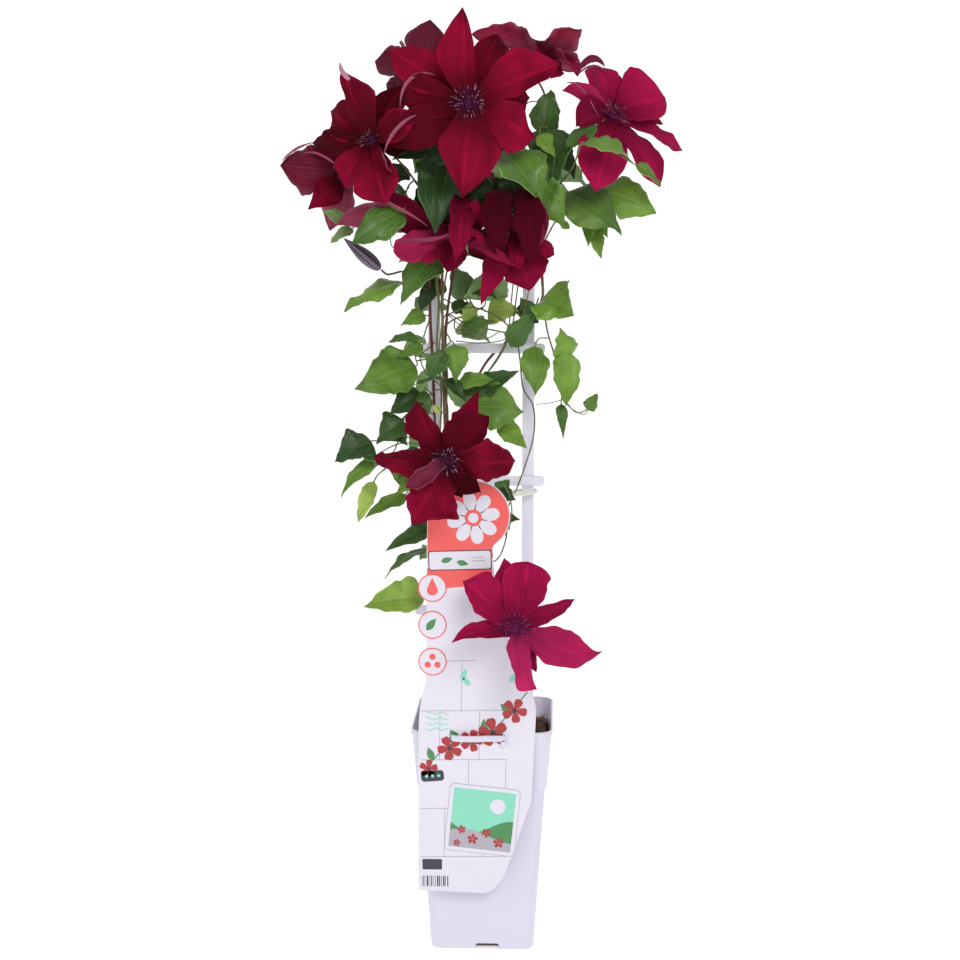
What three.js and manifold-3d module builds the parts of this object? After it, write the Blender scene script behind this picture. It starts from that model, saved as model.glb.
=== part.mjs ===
// A large-flowered clematis trained up a ladder trellis, in its square pot with a hanging plant label.
// Millimetres, +Z up. The origin is the centre of the pot's underside, and the plant's front faces -Y.
import * as THREE from 'three';
import * as BufferGeometryUtils from 'three/addons/utils/BufferGeometryUtils.js';
import Module from 'manifold-3d';

const wasm = await Module();
wasm.setup();

// ---- Driving dimensions ----

const GAP = 0.3;                 // air between neighbouring pieces

const POT = {
  height: 214,
  collarHeight: 56,              // the stiffer band under the rim
  baseHalf: 48,
  neckHalf: 58.3,
  collarHalf: 60,
  rimHalf: 65,
  cornerRadius: 11,
  wall: 1.8,
  floor: 3,
  notchWidth: 12,                // arched drain notch in the foot of each side
  notchHeight: 5,
  notchDepth: 8,
  notchOffset: 8,
};

const SOIL = {
  top: 198,
  relief: 3,                     // height of the lumps on top
  gridCells: 5,
  rimShare: 0.3,                 // the lumps die down to this share at the pot's walls
  holeGrow: 0.4,                 // air round each stem and rail that stands in the soil
};

const TRELLIS = {
  railWidth: 11,
  railDepth: 6,
  web: 1.8,                      // thickness of the channel section
  railX: [-47, 40.5],
  y: 20,                         // middle of the rails' depth
  bottom: 112,                   // driven into the soil down to where the pot narrows
  top: 703,
  barX: [-66, 56],
  barHeight: 9,
  barDepth: 4,
  barZ: [310, 434, 558, 682],
  barSink: 1,                    // how far a bar sinks into the rails' front
  barCorner: 3,
};

const LABEL = {
  y: -66.4,                      // front face
  thickness: 1,
  slotX: [-27, 5],               // where the strap passes through
  slotWidth: 3.6,
  slotHeight: 9,
  badgeRadius: 13,
  badges: [[-44, 348], [-44, 314], [-44, 280]],
  head: { x: -6, z: 414, radius: 32 },
};

const STRAP = { bottom: 207, top: 212.5, thickness: 1.5, hookX: 22, hookDrop: 4.5, hookHeight: 6 };

const TIE = { bottom: 422, top: 425.5, halfThickness: 0.6, middle: [36, 12] };

const STEM_RADIUS = 1.5;
const STALK_RADIUS = 1.1;
const PETIOLE_RADIUS = 0.9;
const STEM_STEP = 40;            // length of a straight stretch of a stem
const STALK_STEP = 17;
const STALK_RUN = 9;             // the last straight stretch of a stalk, square behind its bloom

const TEPAL = {
  thickness: 0.9,
  baseWidth: 3.4,
  cup: 1.4,                      // how far the edges lift in the front layer, and drop in the back one
  wave: 1,
  evenLevel: 1.4,                // height of the front layer over the hub's middle, with two layers
  oddLevel: 1.8,                 // and with a single tepal between the two
  bendAt: 0.55,
  bendRise: 0.3,                 // share of the tip's height that is added to the bow
};
const HUB = { radius: 4.6, half: 2.8, core: 0.8 };
const STAMENS = {
  outer: { count: 11, root: 4.4, reach: 14.5, height: 3, rise: 7 },
  inner: { count: 6, root: 2.6, reach: 7, height: 5.5, rise: 12 },
};
const LEAF = {
  thickness: 0.8,
  cup: 1.6,
  wave: 0.9,
  bow: 0.12,                     // rise of the rib's middle, as a share of the leaflet's length
  stalk: 1.7,
  stalkStep: 16,
  largeFrom: 42,                 // a longer leaflet has a rib of its own
};

const COLOURS = {
  pot: 0xece9f4, soil: 0x3b2a20, trellis: 0xefedf5, label: 0xf3f0f7, tie: 0xe9ecdf,
  stem: 0x6d3a24, tepal: 0x8c0c2e, stamen: 0x4a1230, bud: 0x51394a,
  leaf: 0x3f7a2c, youngLeaf: 0x6aa046, paleLeaf: 0xa3bd8e,
};

// ---- Placement of the plant's pieces ----

// Climbing stems: first the stem from the soil, then its branches.
// A branch that names a bloom runs on from its last point to that bloom, and in along the bloom's axis.
const STEMS = {
  stem_left: [
    { radius: STEM_RADIUS, points: [[-34, 8, 174], [-36, 6, 250], [-40, 3, 350], [-44, 0, 440],
      [-48, 5, 551], [-50, 5, 593], [-49, 5, 640], [-47, 2, 680]] },
    { radius: STALK_RADIUS, points: [[-47, 2, 679], [-55, -16, 700], [-70, -24, 722]], bloom: 'left' },
    { radius: STALK_RADIUS, points: [[-49, 5, 650], [-70, 6, 682], [-95, 0, 708]], bloom: 'far_left' },
    { radius: STALK_RADIUS, points: [[-49.6, 5, 606], [-60, 2, 620], [-72, -10, 629], [-81, -30, 628],
      [-86, -38.3, 627.8], [-90.7, -39.9, 631.8]] },
  ],
  stem_centre: [
    { radius: STEM_RADIUS, points: [[-24, 18, 174], [-26, 8, 250], [-30, 4, 350], [-34, 2, 430],
      [-37, 0, 511], [-38, 0, 565], [-38, 0, 643], [-34, 0, 690], [-38, 8, 740]] },
    { radius: STALK_RADIUS, points: [[-38, 8, 739], [-44, 4, 770]], bloom: 'back_left' },
    { radius: STALK_RADIUS, points: [[-34, 0, 690], [-20, 20, 715], [-10, 42, 735]], bloom: 'back' },
  ],
  stem_front: [
    { radius: STEM_RADIUS, points: [[-18, -8, 174], [-22, -10, 250], [-26, -12, 350], [-30, -13, 440],
      [-35, -10, 528], [-34, -10, 584], [-23, -10, 658], [-19, -10, 694], [-17, -14, 730]] },
    { radius: STALK_RADIUS, points: [[-17, -14, 729], [-14, -30, 755], [-11, -60, 772]], bloom: 'top' },
    { radius: STALK_RADIUS, points: [[-19, -10, 694], [-17, -20, 704], [-17, -34, 698]],
      bloom: 'centre_left' },
    { radius: STALK_RADIUS, points: [[-34, -11, 505], [-32, -35, 510], [-30, -60, 496]], bloom: 'middle' },
    { radius: PETIOLE_RADIUS, points: [[-31.5, -44, 506.5], [-34.5, -45.5, 504.4], [-37.5, -46.2, 504.4]] },
    { radius: PETIOLE_RADIUS, points: [[-34, -10, 590], [-12, -8, 597], [12, -4, 588],
      [28, -2, 572], [33, 0, 548], [36, 2, 522], [45, 4, 506], [46, 5, 480], [38, 5, 450], [29, 5, 425],
      [22, 0, 410], [21, -8, 385], [14, -12, 366], [6, -12, 360]] },
  ],
  stem_right: [
    { radius: STEM_RADIUS, points: [[-8, 34, 174], [-14, 36, 260], [-18, 38, 350], [-20, 40, 440],
      [-5, 40, 534], [29, 35, 572], [46, 34, 590], [53, 24, 604], [53, 11, 622], [51, 7, 650],
      [52, 12, 700], [51, 20, 735]] },
    { radius: STALK_RADIUS, points: [[51, 20, 734], [46, 24, 765]], bloom: 'back_right' },
    { radius: STALK_RADIUS, points: [[52, 13, 706], [68, 0, 736], [88, -12, 752]], bloom: 'right' },
    { radius: STALK_RADIUS, points: [[51, 8, 668], [47, -8, 692], [38, -26, 694]], bloom: 'centre' },
  ],
  stem_low: [
    { radius: STEM_RADIUS, points: [[24, 30, 174], [36, 6, 240], [54, -12, 290]] },
    { radius: STALK_RADIUS, points: [[54, -12, 289], [56, -45, 302], [46, -78, 305]], bloom: 'lower' },
  ],
};

// Blooms: hub centre, the way the bloom faces, how far its tepals bow forward, each tepal's tip and width.
const BLOOMS = {
  top: { at: [-10, -95, 774], face: [0.05, -1, 0.06], bow: 7, tepals: [
    { tip: [-15, -88, 854], width: 40 }, { tip: [14, -66, 830], width: 32 },
    { tip: [68, -80, 808], width: 42 }, { tip: [47, -72, 746], width: 44 },
    { tip: [-16, -82, 694], width: 54 }, { tip: [-80, -72, 734], width: 38 },
    { tip: [-69, -82, 773], width: 30 }, { tip: [-78, -72, 820], width: 42 }] },
  left: { at: [-94, -60, 743], face: [-0.45, -0.86, 0.16], bow: 8, tepals: [
    { tip: [-123, -50, 808], width: 36 }, { tip: [-137, -18, 772], width: 30 },
    { tip: [-154, -12, 740], width: 32 }, { tip: [-123, -40, 702], width: 28 },
    { tip: [-81, -84, 688], width: 42 }, { tip: [-53, -64, 762], width: 26 },
    { tip: [-66, -50, 792], width: 30 }] },
  far_left: { at: [-122, -20, 717], face: [-0.82, -0.3, -0.42], bow: 9, tepals: [
    { tip: [-182, -25, 726], width: 36 }, { tip: [-154, -35, 684], width: 32 },
    { tip: [-140, -4, 666], width: 28 }, { tip: [-165, 8, 738], width: 30 },
    { tip: [-166, -46, 712], width: 32 }] },
  back_left: { at: [-59, 10, 803], face: [-0.3, 0.62, 0.72], bow: 5, tepals: [
    { tip: [-99, 5, 818], width: 30 }, { tip: [-49, 12, 855], width: 34 },
    { tip: [-80, 42, 838], width: 32 }, { tip: [-26, 50, 826], width: 34 },
    { tip: [-86, 34, 786], width: 30 }, { tip: [-50, 56, 796], width: 34 }] },
  back_right: { at: [45, 40, 823], face: [0.2, 0.5, 0.84], bow: 5, tepals: [
    { tip: [88, 30, 846], width: 36 }, { tip: [8, 26, 849], width: 34 },
    { tip: [70, 78, 836], width: 32 }, { tip: [34, 88, 836], width: 34 },
    { tip: [88, 52, 810], width: 30 }, { tip: [6, 58, 806], width: 32 },
    { tip: [60, 6, 800], width: 36 }] },
  right: { at: [113, -40, 765], face: [0.34, -0.76, 0.55], bow: 7, tepals: [
    { tip: [163, -25, 783], width: 48 }, { tip: [104, -12, 816], width: 38 },
    { tip: [70, -48, 788], width: 32 }, { tip: [84, -70, 748], width: 32 },
    { tip: [100, -74, 700], width: 44 }, { tip: [156, -50, 703], width: 32 },
    { tip: [177, -28, 734], width: 27 }] },
  centre: { at: [27, -60, 674], face: [0.08, -0.74, -0.67], bow: 9, tepals: [
    { tip: [1, -72, 602], width: 38 }, { tip: [39, -64, 615], width: 38 },
    { tip: [60, -34, 644], width: 32 }, { tip: [46, -26, 696], width: 32 },
    { tip: [8, -28, 694], width: 32 }, { tip: [-12, -52, 650], width: 32 },
    { tip: [26, -96, 634], width: 24 }] },
  centre_left: { at: [-21, -50, 667], face: [-0.25, -0.6, -0.76], bow: 8, tepals: [
    { tip: [-73, -72, 632], width: 36 }, { tip: [-112, -58, 673], width: 30 },
    { tip: [-52, -14, 698], width: 30 }, { tip: [-4, -22, 696], width: 32 },
    { tip: [2, -78, 664], width: 34 }, { tip: [-26, -58, 622], width: 30 }] },
  middle: { at: [-29, -100, 470], face: [-0.04, -0.97, -0.24], bow: 6, tepals: [
    { tip: [4, -88, 522], width: 42 }, { tip: [-61, -80, 516], width: 36 },
    { tip: [-93, -84, 470], width: 30 }, { tip: [-68, -104, 438], width: 30 },
    { tip: [-60, -98, 411], width: 38 }, { tip: [0, -94, 440], width: 26 },
    { tip: [31, -88, 467], width: 36 }] },
  lower: { at: [32, -110, 320], face: [0.1, -0.86, 0.5], bow: 6, tepals: [
    { tip: [19, -86, 378], width: 34 }, { tip: [52, -84, 374], width: 44 },
    { tip: [86, -92, 342], width: 28 }, { tip: [106, -112, 297], width: 30 },
    { tip: [46, -126, 268], width: 24 }, { tip: [-23, -114, 310], width: 22 },
    { tip: [-13, -94, 352], width: 38 }] },
  back: { at: [-6, 75, 744], face: [0.05, 0.97, 0.22], bow: 6, tepals: [
    { tip: [-8, 68, 796], width: 34 }, { tip: [36, 72, 772], width: 32 },
    { tip: [38, 80, 722], width: 34 }, { tip: [-4, 88, 692], width: 34 },
    { tip: [-48, 82, 718], width: 32 }, { tip: [-50, 70, 768], width: 34 }] },
};

// Leafy sprays: the leaf stalk starts on a stem, and each leaflet is [base, tip, width, the way it faces].
const FRONT = [0.1, -0.85, 0.5];
const REAR = [0.1, 0.8, 0.6];
const SIDE_LEFT = [-0.55, -0.55, 0.63];
const SIDE_RIGHT = [0.55, -0.5, 0.67];
const SPRAYS = {
  leaves_a: { stalk: [[-48.5, 4.5, 658], [-41, -12, 661], [-40, -21, 650], [-52, -19, 634],
    [-62, -21, 627]], leaflets: [
    [[-72, -26, 620], [-124, -45, 596], 23, SIDE_LEFT], [[-44, -26, 646], [-73, -38, 601], 21, FRONT]] },
  leaves_b: { stalk: [[-49.5, 5, 585], [-52, -4, 580], [-55, -8, 570]], colour: 'youngLeaf', leaflets: [
    [[-54, -5, 590], [-76, -12, 580], 14, FRONT], [[-58, -9, 569], [-84, -25, 563], 13, SIDE_LEFT],
    [[-56, -12, 562], [-72, -22, 549], 11, FRONT]] },
  leaves_c: { stalk: [[-47.5, 5, 547], [-54, -6, 549], [-62, -9, 548]], leaflets: [
    [[-69, -6, 553], [-101, -26, 531], 14, SIDE_LEFT], [[-64, -12, 542], [-113, -45, 525], 30, FRONT]] },
  leaves_d: { stalk: [[-34, -10, 573], [-32, -20, 572], [-29, -24, 567]], leaflets: [
    [[-26, -26, 562], [-24, -34, 530], 18, FRONT], [[-35, -28, 559], [-48, -34, 532], 15, FRONT]] },
  leaves_e: { stalk: [[-35, -10, 527], [-25, -18, 521], [-12, -18, 514]], leaflets: [
    [[-37, -24, 534], [-62, -44, 528], 14, SIDE_LEFT], [[-23, -22, 527], [10, -35, 533], 14, FRONT],
    [[-4, -14, 520], [33, -18, 540], 13, FRONT], [[-6, -22, 509], [37, -26, 502], 30, FRONT]] },
  leaves_f: { stalk: [[53, 14, 616], [54, 4, 602], [58, 0, 575], [70, 0, 535], [72, -2, 515]], leaflets: [
    [[51, 0, 603], [80, -24, 588], 32, FRONT], [[46, -6, 561], [47, -20, 517], 20, FRONT],
    [[62, -2, 568], [86, -14, 509], 18, SIDE_RIGHT], [[71, -4, 508], [73, -12, 477], 10, FRONT],
    [[96, -4, 503], [104, -12, 519], 13, FRONT]] },
  leaves_g: { stalk: [[-38, 0, 577], [-30, 9, 584], [-14, 11, 590], [-2, 12, 596]], colour: 'paleLeaf',
    leaflets: [[[1, 14, 602], [2, 8, 632], 33, FRONT], [[-14, 6, 583], [-13, 2, 602], 14, FRONT],
      [[3, 8, 590], [27, 4, 602], 16, FRONT], [[-21, 4, 576], [10, -4, 572], 12, FRONT],
      [[-17, 12, 603], [-32, 14, 637], 22, FRONT]] },
  leaves_h_upper: { stalk: [[-46, 3, 497], [-62, -2, 503], [-82, -6, 488], [-97, -10, 472]], leaflets: [
    [[-104, -10, 472], [-136, -25, 457], 25, FRONT], [[-77, -12, 490], [-99, -22, 470], 22, FRONT],
    [[-66, -6, 507], [-87, -16, 502], 19, FRONT]] },
  leaves_h_lower: { stalk: [[-44.5, 0, 450], [-62, -6, 452], [-82, -10, 454], [-94, -12, 446]],
    colour: 'youngLeaf', leaflets: [[[-96, -10, 454], [-130, -30, 425], 13, SIDE_LEFT],
      [[-101, -17, 437], [-115, -25, 400], 13, FRONT], [[-72, -12, 424], [-109, -25, 404], 13, FRONT],
      [[-60, -8, 441], [-81, -14, 425], 15, FRONT]] },
  leaves_i: { stalk: [[-42, 1, 400], [-46, -12, 402], [-49, -20, 388]], leaflets: [
    [[-51, -20, 392], [-89, -40, 376], 13, FRONT], [[-52, -25, 376], [-89, -45, 351], 13, SIDE_LEFT],
    [[-50, -16, 406], [-68, -24, 386], 13, FRONT]] },
  leaf_i_low: { stalk: [[-38.5, 4, 325], [-46, -14, 334]], colour: 'youngLeaf', leaflets: [
    [[-56, -30, 333], [-108, -52, 327], 27, FRONT]] },
  leaf_j: { stalk: [[-36, 1, 480], [-12, -2, 492]], colour: 'youngLeaf', leaflets: [
    [[14, -2, 488], [40, -12, 468], 17, FRONT]] },
  leaves_k: { stalk: [[29, 5, 425], [16, 0, 418]], leaflets: [[[12, -3, 422], [24, -4, 438], 13, FRONT],
    [[9, -5, 402], [34, -10, 401], 11, FRONT]] },
  leaf_l: { stalk: [[51, 7, 660], [50, -20, 700], [42, -48, 726]], leaflets: [
    [[37, -54, 728], [53, -78, 688], 40, FRONT]] },
  leaves_m: { stalk: [[52, 13, 712], [56, 2, 735], [56, -12, 750]], leaflets: [
    [[57, -22, 757], [58, -45, 697], 36, FRONT], [[55, -8, 758], [61, 0, 788], 22, FRONT]] },
  leaves_n: { stalk: [[51, 7, 648], [66, -6, 676], [86, -14, 696]], colour: 'youngLeaf', leaflets: [
    [[74, -25, 700], [123, -55, 662], 40, FRONT], [[105, -12, 702], [155, -22, 681], 34, FRONT],
    [[98, -20, 669], [106, -30, 641], 15, FRONT]] },
  leaves_o: { stalk: [[52, 8, 684], [66, -26, 704], [80, -64, 722], [86, -86, 740]], colour: 'youngLeaf',
    leaflets: [[[90, -90, 741], [131, -97, 723], 16, [0.2, -0.5, 0.85]],
      [[133, -96, 722], [155, -90, 704], 9, FRONT]] },
  leaf_p: { stalk: [[51.5, 8, 640], [56, -14, 668], [54, -38, 690]], leaflets: [
    [[52, -46, 691], [71, -62, 671], 30, FRONT]] },
  leaf_q: { stalk: [[-18, -12, 712], [-22, -24, 730]], leaflets: [
    [[-27, -34, 736], [-40, -74, 664], 44, FRONT]] },
  leaves_r: { stalk: [[-62, -20, 711], [-66, -40, 705], [-68, -56, 693]], leaflets: [
    [[-69, -63, 684], [-112, -84, 655], 33, FRONT], [[-69, -34, 701], [-86, -38, 688], 18, FRONT]] },
  leaves_s: { stalk: [[-78, 4, 693], [-98, -14, 680], [-114, -26, 673]], colour: 'paleLeaf', leaflets: [
    [[-124, -32, 674], [-143, -40, 684], 13, FRONT], [[-117, -30, 668], [-136, -37, 655], 12, FRONT]] },
  leaves_t: { stalk: [[-38, 0, 630], [-42, 24, 640], [-40, 44, 650]], leaflets: [
    [[-44, 52, 652], [-84, 66, 636], 32, REAR], [[-34, 54, 656], [-10, 78, 640], 30, REAR]] },
  leaves_u: { stalk: [[52, 11, 694], [48, 40, 700], [44, 56, 704]], leaflets: [
    [[48, 64, 704], [86, 78, 686], 34, REAR], [[38, 66, 700], [16, 82, 664], 30, REAR]] },
  leaves_v: { stalk: [[-37, 0, 511], [-38, 22, 522], [-36, 38, 526]], colour: 'youngLeaf', leaflets: [
    [[-40, 46, 526], [-72, 62, 510], 28, REAR], [[-30, 46, 522], [-12, 60, 490], 26, REAR]] },
};

const LONG_BUD = { base: [-91, -40, 632], tip: [-123, -50, 660], radius: 6.2 };
const SMALL_BUD = { base: [-37.85, -46.25, 504.6], tip: [-44, -48, 511.6], radius: 3.2 };

// ---- Solids and meshes ----

const vec = (point) => new THREE.Vector3(...point);
const wave = (index, phase) => Math.sin(index * 2.1 + phase);

function solidOf(geometry) {
  geometry.deleteAttribute('normal');
  geometry.deleteAttribute('uv');
  const merged = BufferGeometryUtils.mergeVertices(geometry, 1e-4);
  return new wasm.Manifold(new wasm.Mesh({
    numProp: 3,
    vertProperties: merged.attributes.position.array,
    triVerts: new Uint32Array(merged.index.array),
  }));
}

function geometryOf(solid) {
  const mesh = solid.getMesh();
  const geometry = new THREE.BufferGeometry();
  geometry.setAttribute('position', new THREE.BufferAttribute(mesh.vertProperties, 3));
  geometry.setIndex(new THREE.BufferAttribute(mesh.triVerts, 1));
  geometry.computeVertexNormals();
  return geometry;
}

function indexedSolid(points, triangles) {
  const geometry = new THREE.BufferGeometry();
  const flat = points.flatMap((point) => point.toArray());
  geometry.setAttribute('position', new THREE.Float32BufferAttribute(flat, 3));
  geometry.setIndex(triangles);
  return solidOf(geometry);
}

// The same, with the triangles turned round where they would face inwards.
function outwardSolid(points, triangles) {
  const solid = indexedSolid(points, triangles);
  return solid.volume() > 0 ? solid : indexedSolid(points, [...triangles].reverse());
}

const joined = (solids) => solids.reduce((all, solid) => all.add(solid));

// The one body that counts: loose scraps left by a cut are dropped, sealed bubbles are filled.
function mainBody(solid) {
  const bodies = solid.simplify(0.01).decompose();
  bodies.sort((a, b) => b.volume() - a.volume());
  return bodies[0];
}

function boxesMeet(a, b) {
  const first = a.boundingBox();
  const second = b.boundingBox();
  const meets = (axis) => first.min[axis] < second.max[axis] && second.min[axis] < first.max[axis];
  return [0, 1, 2].every(meets);
}

// A solid with the space of its neighbours cut away.
function cleared(solid, neighbours) {
  const near = neighbours.filter((other) => boxesMeet(solid, other));
  return near.reduce((rest, other) => rest.subtract(other), solid);
}

// Joins rings of equally many points into a closed skin, with a flat cap at each end.
function ringSolid(rings) {
  const points = rings.flat();
  const count = rings[0].length;
  const triangles = [];
  for (let row = 0; row < rings.length - 1; row += 1) {
    for (let k = 0; k < count; k += 1) {
      const here = row * count + k;
      const beside = row * count + ((k + 1) % count);
      triangles.push(here, beside, beside + count, here, beside + count, here + count);
    }
  }
  const last = (rings.length - 1) * count;
  for (let k = 1; k < count - 1; k += 1) {
    triangles.push(0, k + 1, k, last, last + k, last + k + 1);
  }
  return indexedSolid(points, triangles);
}

// A round rod along a smooth path.
function rod(path, radius, sides, stepLength) {
  const section = new THREE.Shape();
  for (let k = 0; k < sides; k += 1) {
    const angle = (k / sides) * 2 * Math.PI;
    const corner = [radius * Math.cos(angle), radius * Math.sin(angle)];
    if (k === 0) {
      section.moveTo(...corner);
    } else {
      section.lineTo(...corner);
    }
  }
  section.closePath();
  const steps = Math.max(2, Math.round(path.getLength() / stepLength));
  return solidOf(new THREE.ExtrudeGeometry(section, { steps, bevelEnabled: false, extrudePath: path }));
}

// Stations along a blade: where, as a share of its length, and the width there, as a share of the widest.
const TEPAL_ROWS = [[0.25, 0.74], [0.53, 1], [0.8, 0.6], [1, 0.03]];
const LEAF_ROWS = [[0, 0.12], [0.17, 0.9], [0.42, 0.94], [0.75, 0.4], [1, 0.03]];
const SMALL_LEAF_ROWS = [[0, 0.15], [0.32, 1], [0.72, 0.5], [1, 0.04]];

// The points of a thin blade's two faces, row by row along its rib and column by column across it.
// Each row is a place on the rib, a half width and a half thickness; the edges are cupped and waved.
function bladeFaces({ rows, columns, side, cup, waves, phase, grow }) {
  const faces = { upper: [], lower: [] };
  const widest = Math.max(...rows.map((row) => row.halfWidth));
  rows.forEach(({ at, halfWidth, halfThickness }, row) => {
    const before = rows[Math.max(row - 1, 0)].at;
    const after = rows[Math.min(row + 1, rows.length - 1)].at;
    const along = after.clone().sub(before).normalize();
    const across = side.clone().addScaledVector(along, -side.dot(along)).normalize();
    const normal = along.clone().cross(across).normalize();
    const end = row === rows.length - 1 ? grow : 0;
    const share = halfWidth / widest;
    columns.forEach((edge) => {
      const lift = (cup + waves * wave(row, phase + edge)) * share * Math.abs(edge);
      const point = at.clone().addScaledVector(along, end)
        .addScaledVector(across, edge * (halfWidth + grow))
        .addScaledVector(normal, lift);
      faces.upper.push(point.clone().addScaledVector(normal, halfThickness + grow));
      faces.lower.push(point.clone().addScaledVector(normal, -halfThickness - grow));
    });
  });
  return faces;
}

// Triangles of a blade whose upper points start at one index and lower points at another.
// Both faces are split alike; the root end stays open for the caller.
function bladeTriangles(upper, lower, rowCount, columnCount) {
  const triangles = [];
  for (let row = 0; row < rowCount - 1; row += 1) {
    for (let column = 0; column < columnCount - 1; column += 1) {
      const k = row * columnCount + column;
      const next = k + columnCount;
      triangles.push(upper + k, upper + next, upper + next + 1, upper + k, upper + next + 1, upper + k + 1);
      triangles.push(lower + k, lower + next + 1, lower + next, lower + k, lower + k + 1, lower + next + 1);
    }
    const first = row * columnCount;
    const last = first + columnCount - 1;
    triangles.push(lower + first, lower + first + columnCount, upper + first + columnCount);
    triangles.push(lower + first, upper + first + columnCount, upper + first);
    triangles.push(lower + last, upper + last, upper + last + columnCount);
    triangles.push(lower + last, upper + last + columnCount, lower + last + columnCount);
  }
  const tip = (rowCount - 1) * columnCount;
  for (let column = 0; column < columnCount - 1; column += 1) {
    const k = tip + column;
    triangles.push(upper + k + 1, upper + k, lower + k, upper + k + 1, lower + k, lower + k + 1);
  }
  return triangles;
}

function blade(options) {
  const { rows, columns } = options;
  const { upper, lower } = bladeFaces(options);
  const count = columns.length;
  const triangles = bladeTriangles(0, upper.length, rows.length, count);
  for (let column = 0; column < count - 1; column += 1) {
    const below = upper.length + column;
    triangles.push(column, column + 1, below + 1, column, below + 1, below);
  }
  return indexedSolid([...upper, ...lower], triangles);
}

// Turns the Y axis onto a direction, and moves the origin to a point.
function placed(geometry, at, direction) {
  geometry.applyQuaternion(new THREE.Quaternion().setFromUnitVectors(new THREE.Vector3(0, 1, 0), direction));
  geometry.translate(at.x, at.y, at.z);
  return geometry;
}

function turned(profile, segments) {
  return new THREE.LatheGeometry(profile.map(([r, y]) => new THREE.Vector2(r, y)), segments);
}

// ---- Pot, soil, trellis, label, tie ----

// The outline of a square with rounded corners, at a height.
function squareRing(half, radius, z) {
  const cornerSteps = 2;
  const ring = [];
  [[1, -1], [1, 1], [-1, 1], [-1, -1]].forEach(([sx, sy], corner) => {
    for (let step = 0; step <= cornerSteps; step += 1) {
      const angle = (corner - 1 + step / cornerSteps) * Math.PI / 2;
      const x = sx * (half - radius) + radius * Math.cos(angle);
      const y = sy * (half - radius) + radius * Math.sin(angle);
      ring.push(new THREE.Vector3(x, y, z));
    }
  });
  return ring;
}

function slab(outline, thickness) {
  const shape = new THREE.Shape(outline.map(([x, y]) => new THREE.Vector2(x, y)));
  return new THREE.ExtrudeGeometry(shape, { depth: thickness, bevelEnabled: false });
}

function drainNotch(quarterTurn) {
  const half = POT.notchWidth / 2;
  const outline = [[-half, -1], [half, -1], [half, POT.notchHeight * 0.5], [half * 0.6, POT.notchHeight],
    [-half * 0.6, POT.notchHeight], [-half, POT.notchHeight * 0.5]];
  const geometry = slab(outline, POT.notchDepth + 2);
  geometry.rotateX(Math.PI / 2);
  geometry.translate(POT.notchOffset, -POT.baseHalf + POT.notchDepth, 0);
  geometry.rotateZ(quarterTurn * Math.PI / 2);
  return solidOf(geometry);
}

// The strap arches out from the rim through the label's slots, and its free end is a small hook.
function strapBody() {
  const [left, right] = LABEL.slotX;
  const t = STRAP.thickness;
  const root = -POT.rimHalf + POT.wall * 0.7;
  const inner = [[left + t, root], [left + t, -68.2], [left + 7, -70.1], [-11, -71.2], [right - 6, -70.1],
    [right - 1, -68.4], [right - 1, root]];
  const outer = [[right + t - 1, root], [right + t - 1, -68.2], [STRAP.hookX - 2, -68.2],
    [STRAP.hookX, -69], [STRAP.hookX, -69 - t], [right + 2, -70.2], [right - 5, -72], [-11, -72.9],
    [left + 5, -71.8], [left, -69.4], [left, root]];
  const band = slab([...inner, ...outer], STRAP.top - STRAP.bottom);
  band.translate(0, 0, STRAP.bottom);
  const hook = slab([[STRAP.hookX - 4, -69], [STRAP.hookX - 4, -69 - t], [STRAP.hookX, -69 - t],
    [STRAP.hookX, -69]], STRAP.hookHeight);
  hook.translate(0, 0, STRAP.bottom - STRAP.hookDrop);
  return joined([solidOf(band), solidOf(hook)]);
}

function potBody() {
  const neck = POT.height - POT.collarHeight;
  const { wall, cornerRadius: r } = POT;
  const shell = ringSolid([
    squareRing(POT.baseHalf - 1, r - 2, 0),
    squareRing(POT.baseHalf, r - 1, 2),
    squareRing(POT.neckHalf, r - 1, neck),
    squareRing(POT.collarHalf, r, neck),
    squareRing(POT.rimHalf, r + 1, POT.height),
    squareRing(POT.rimHalf - wall, r, POT.height),
    squareRing(POT.collarHalf - wall, r - 1, neck + wall),
    squareRing(POT.neckHalf - wall, r - 2, neck + wall),
    squareRing(POT.baseHalf - wall, r - 2, POT.floor),
  ]);
  const notches = [0, 1, 2, 3].map(drainNotch);
  return notches.reduce((rest, notch) => rest.subtract(notch), shell).add(strapBody());
}

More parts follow.
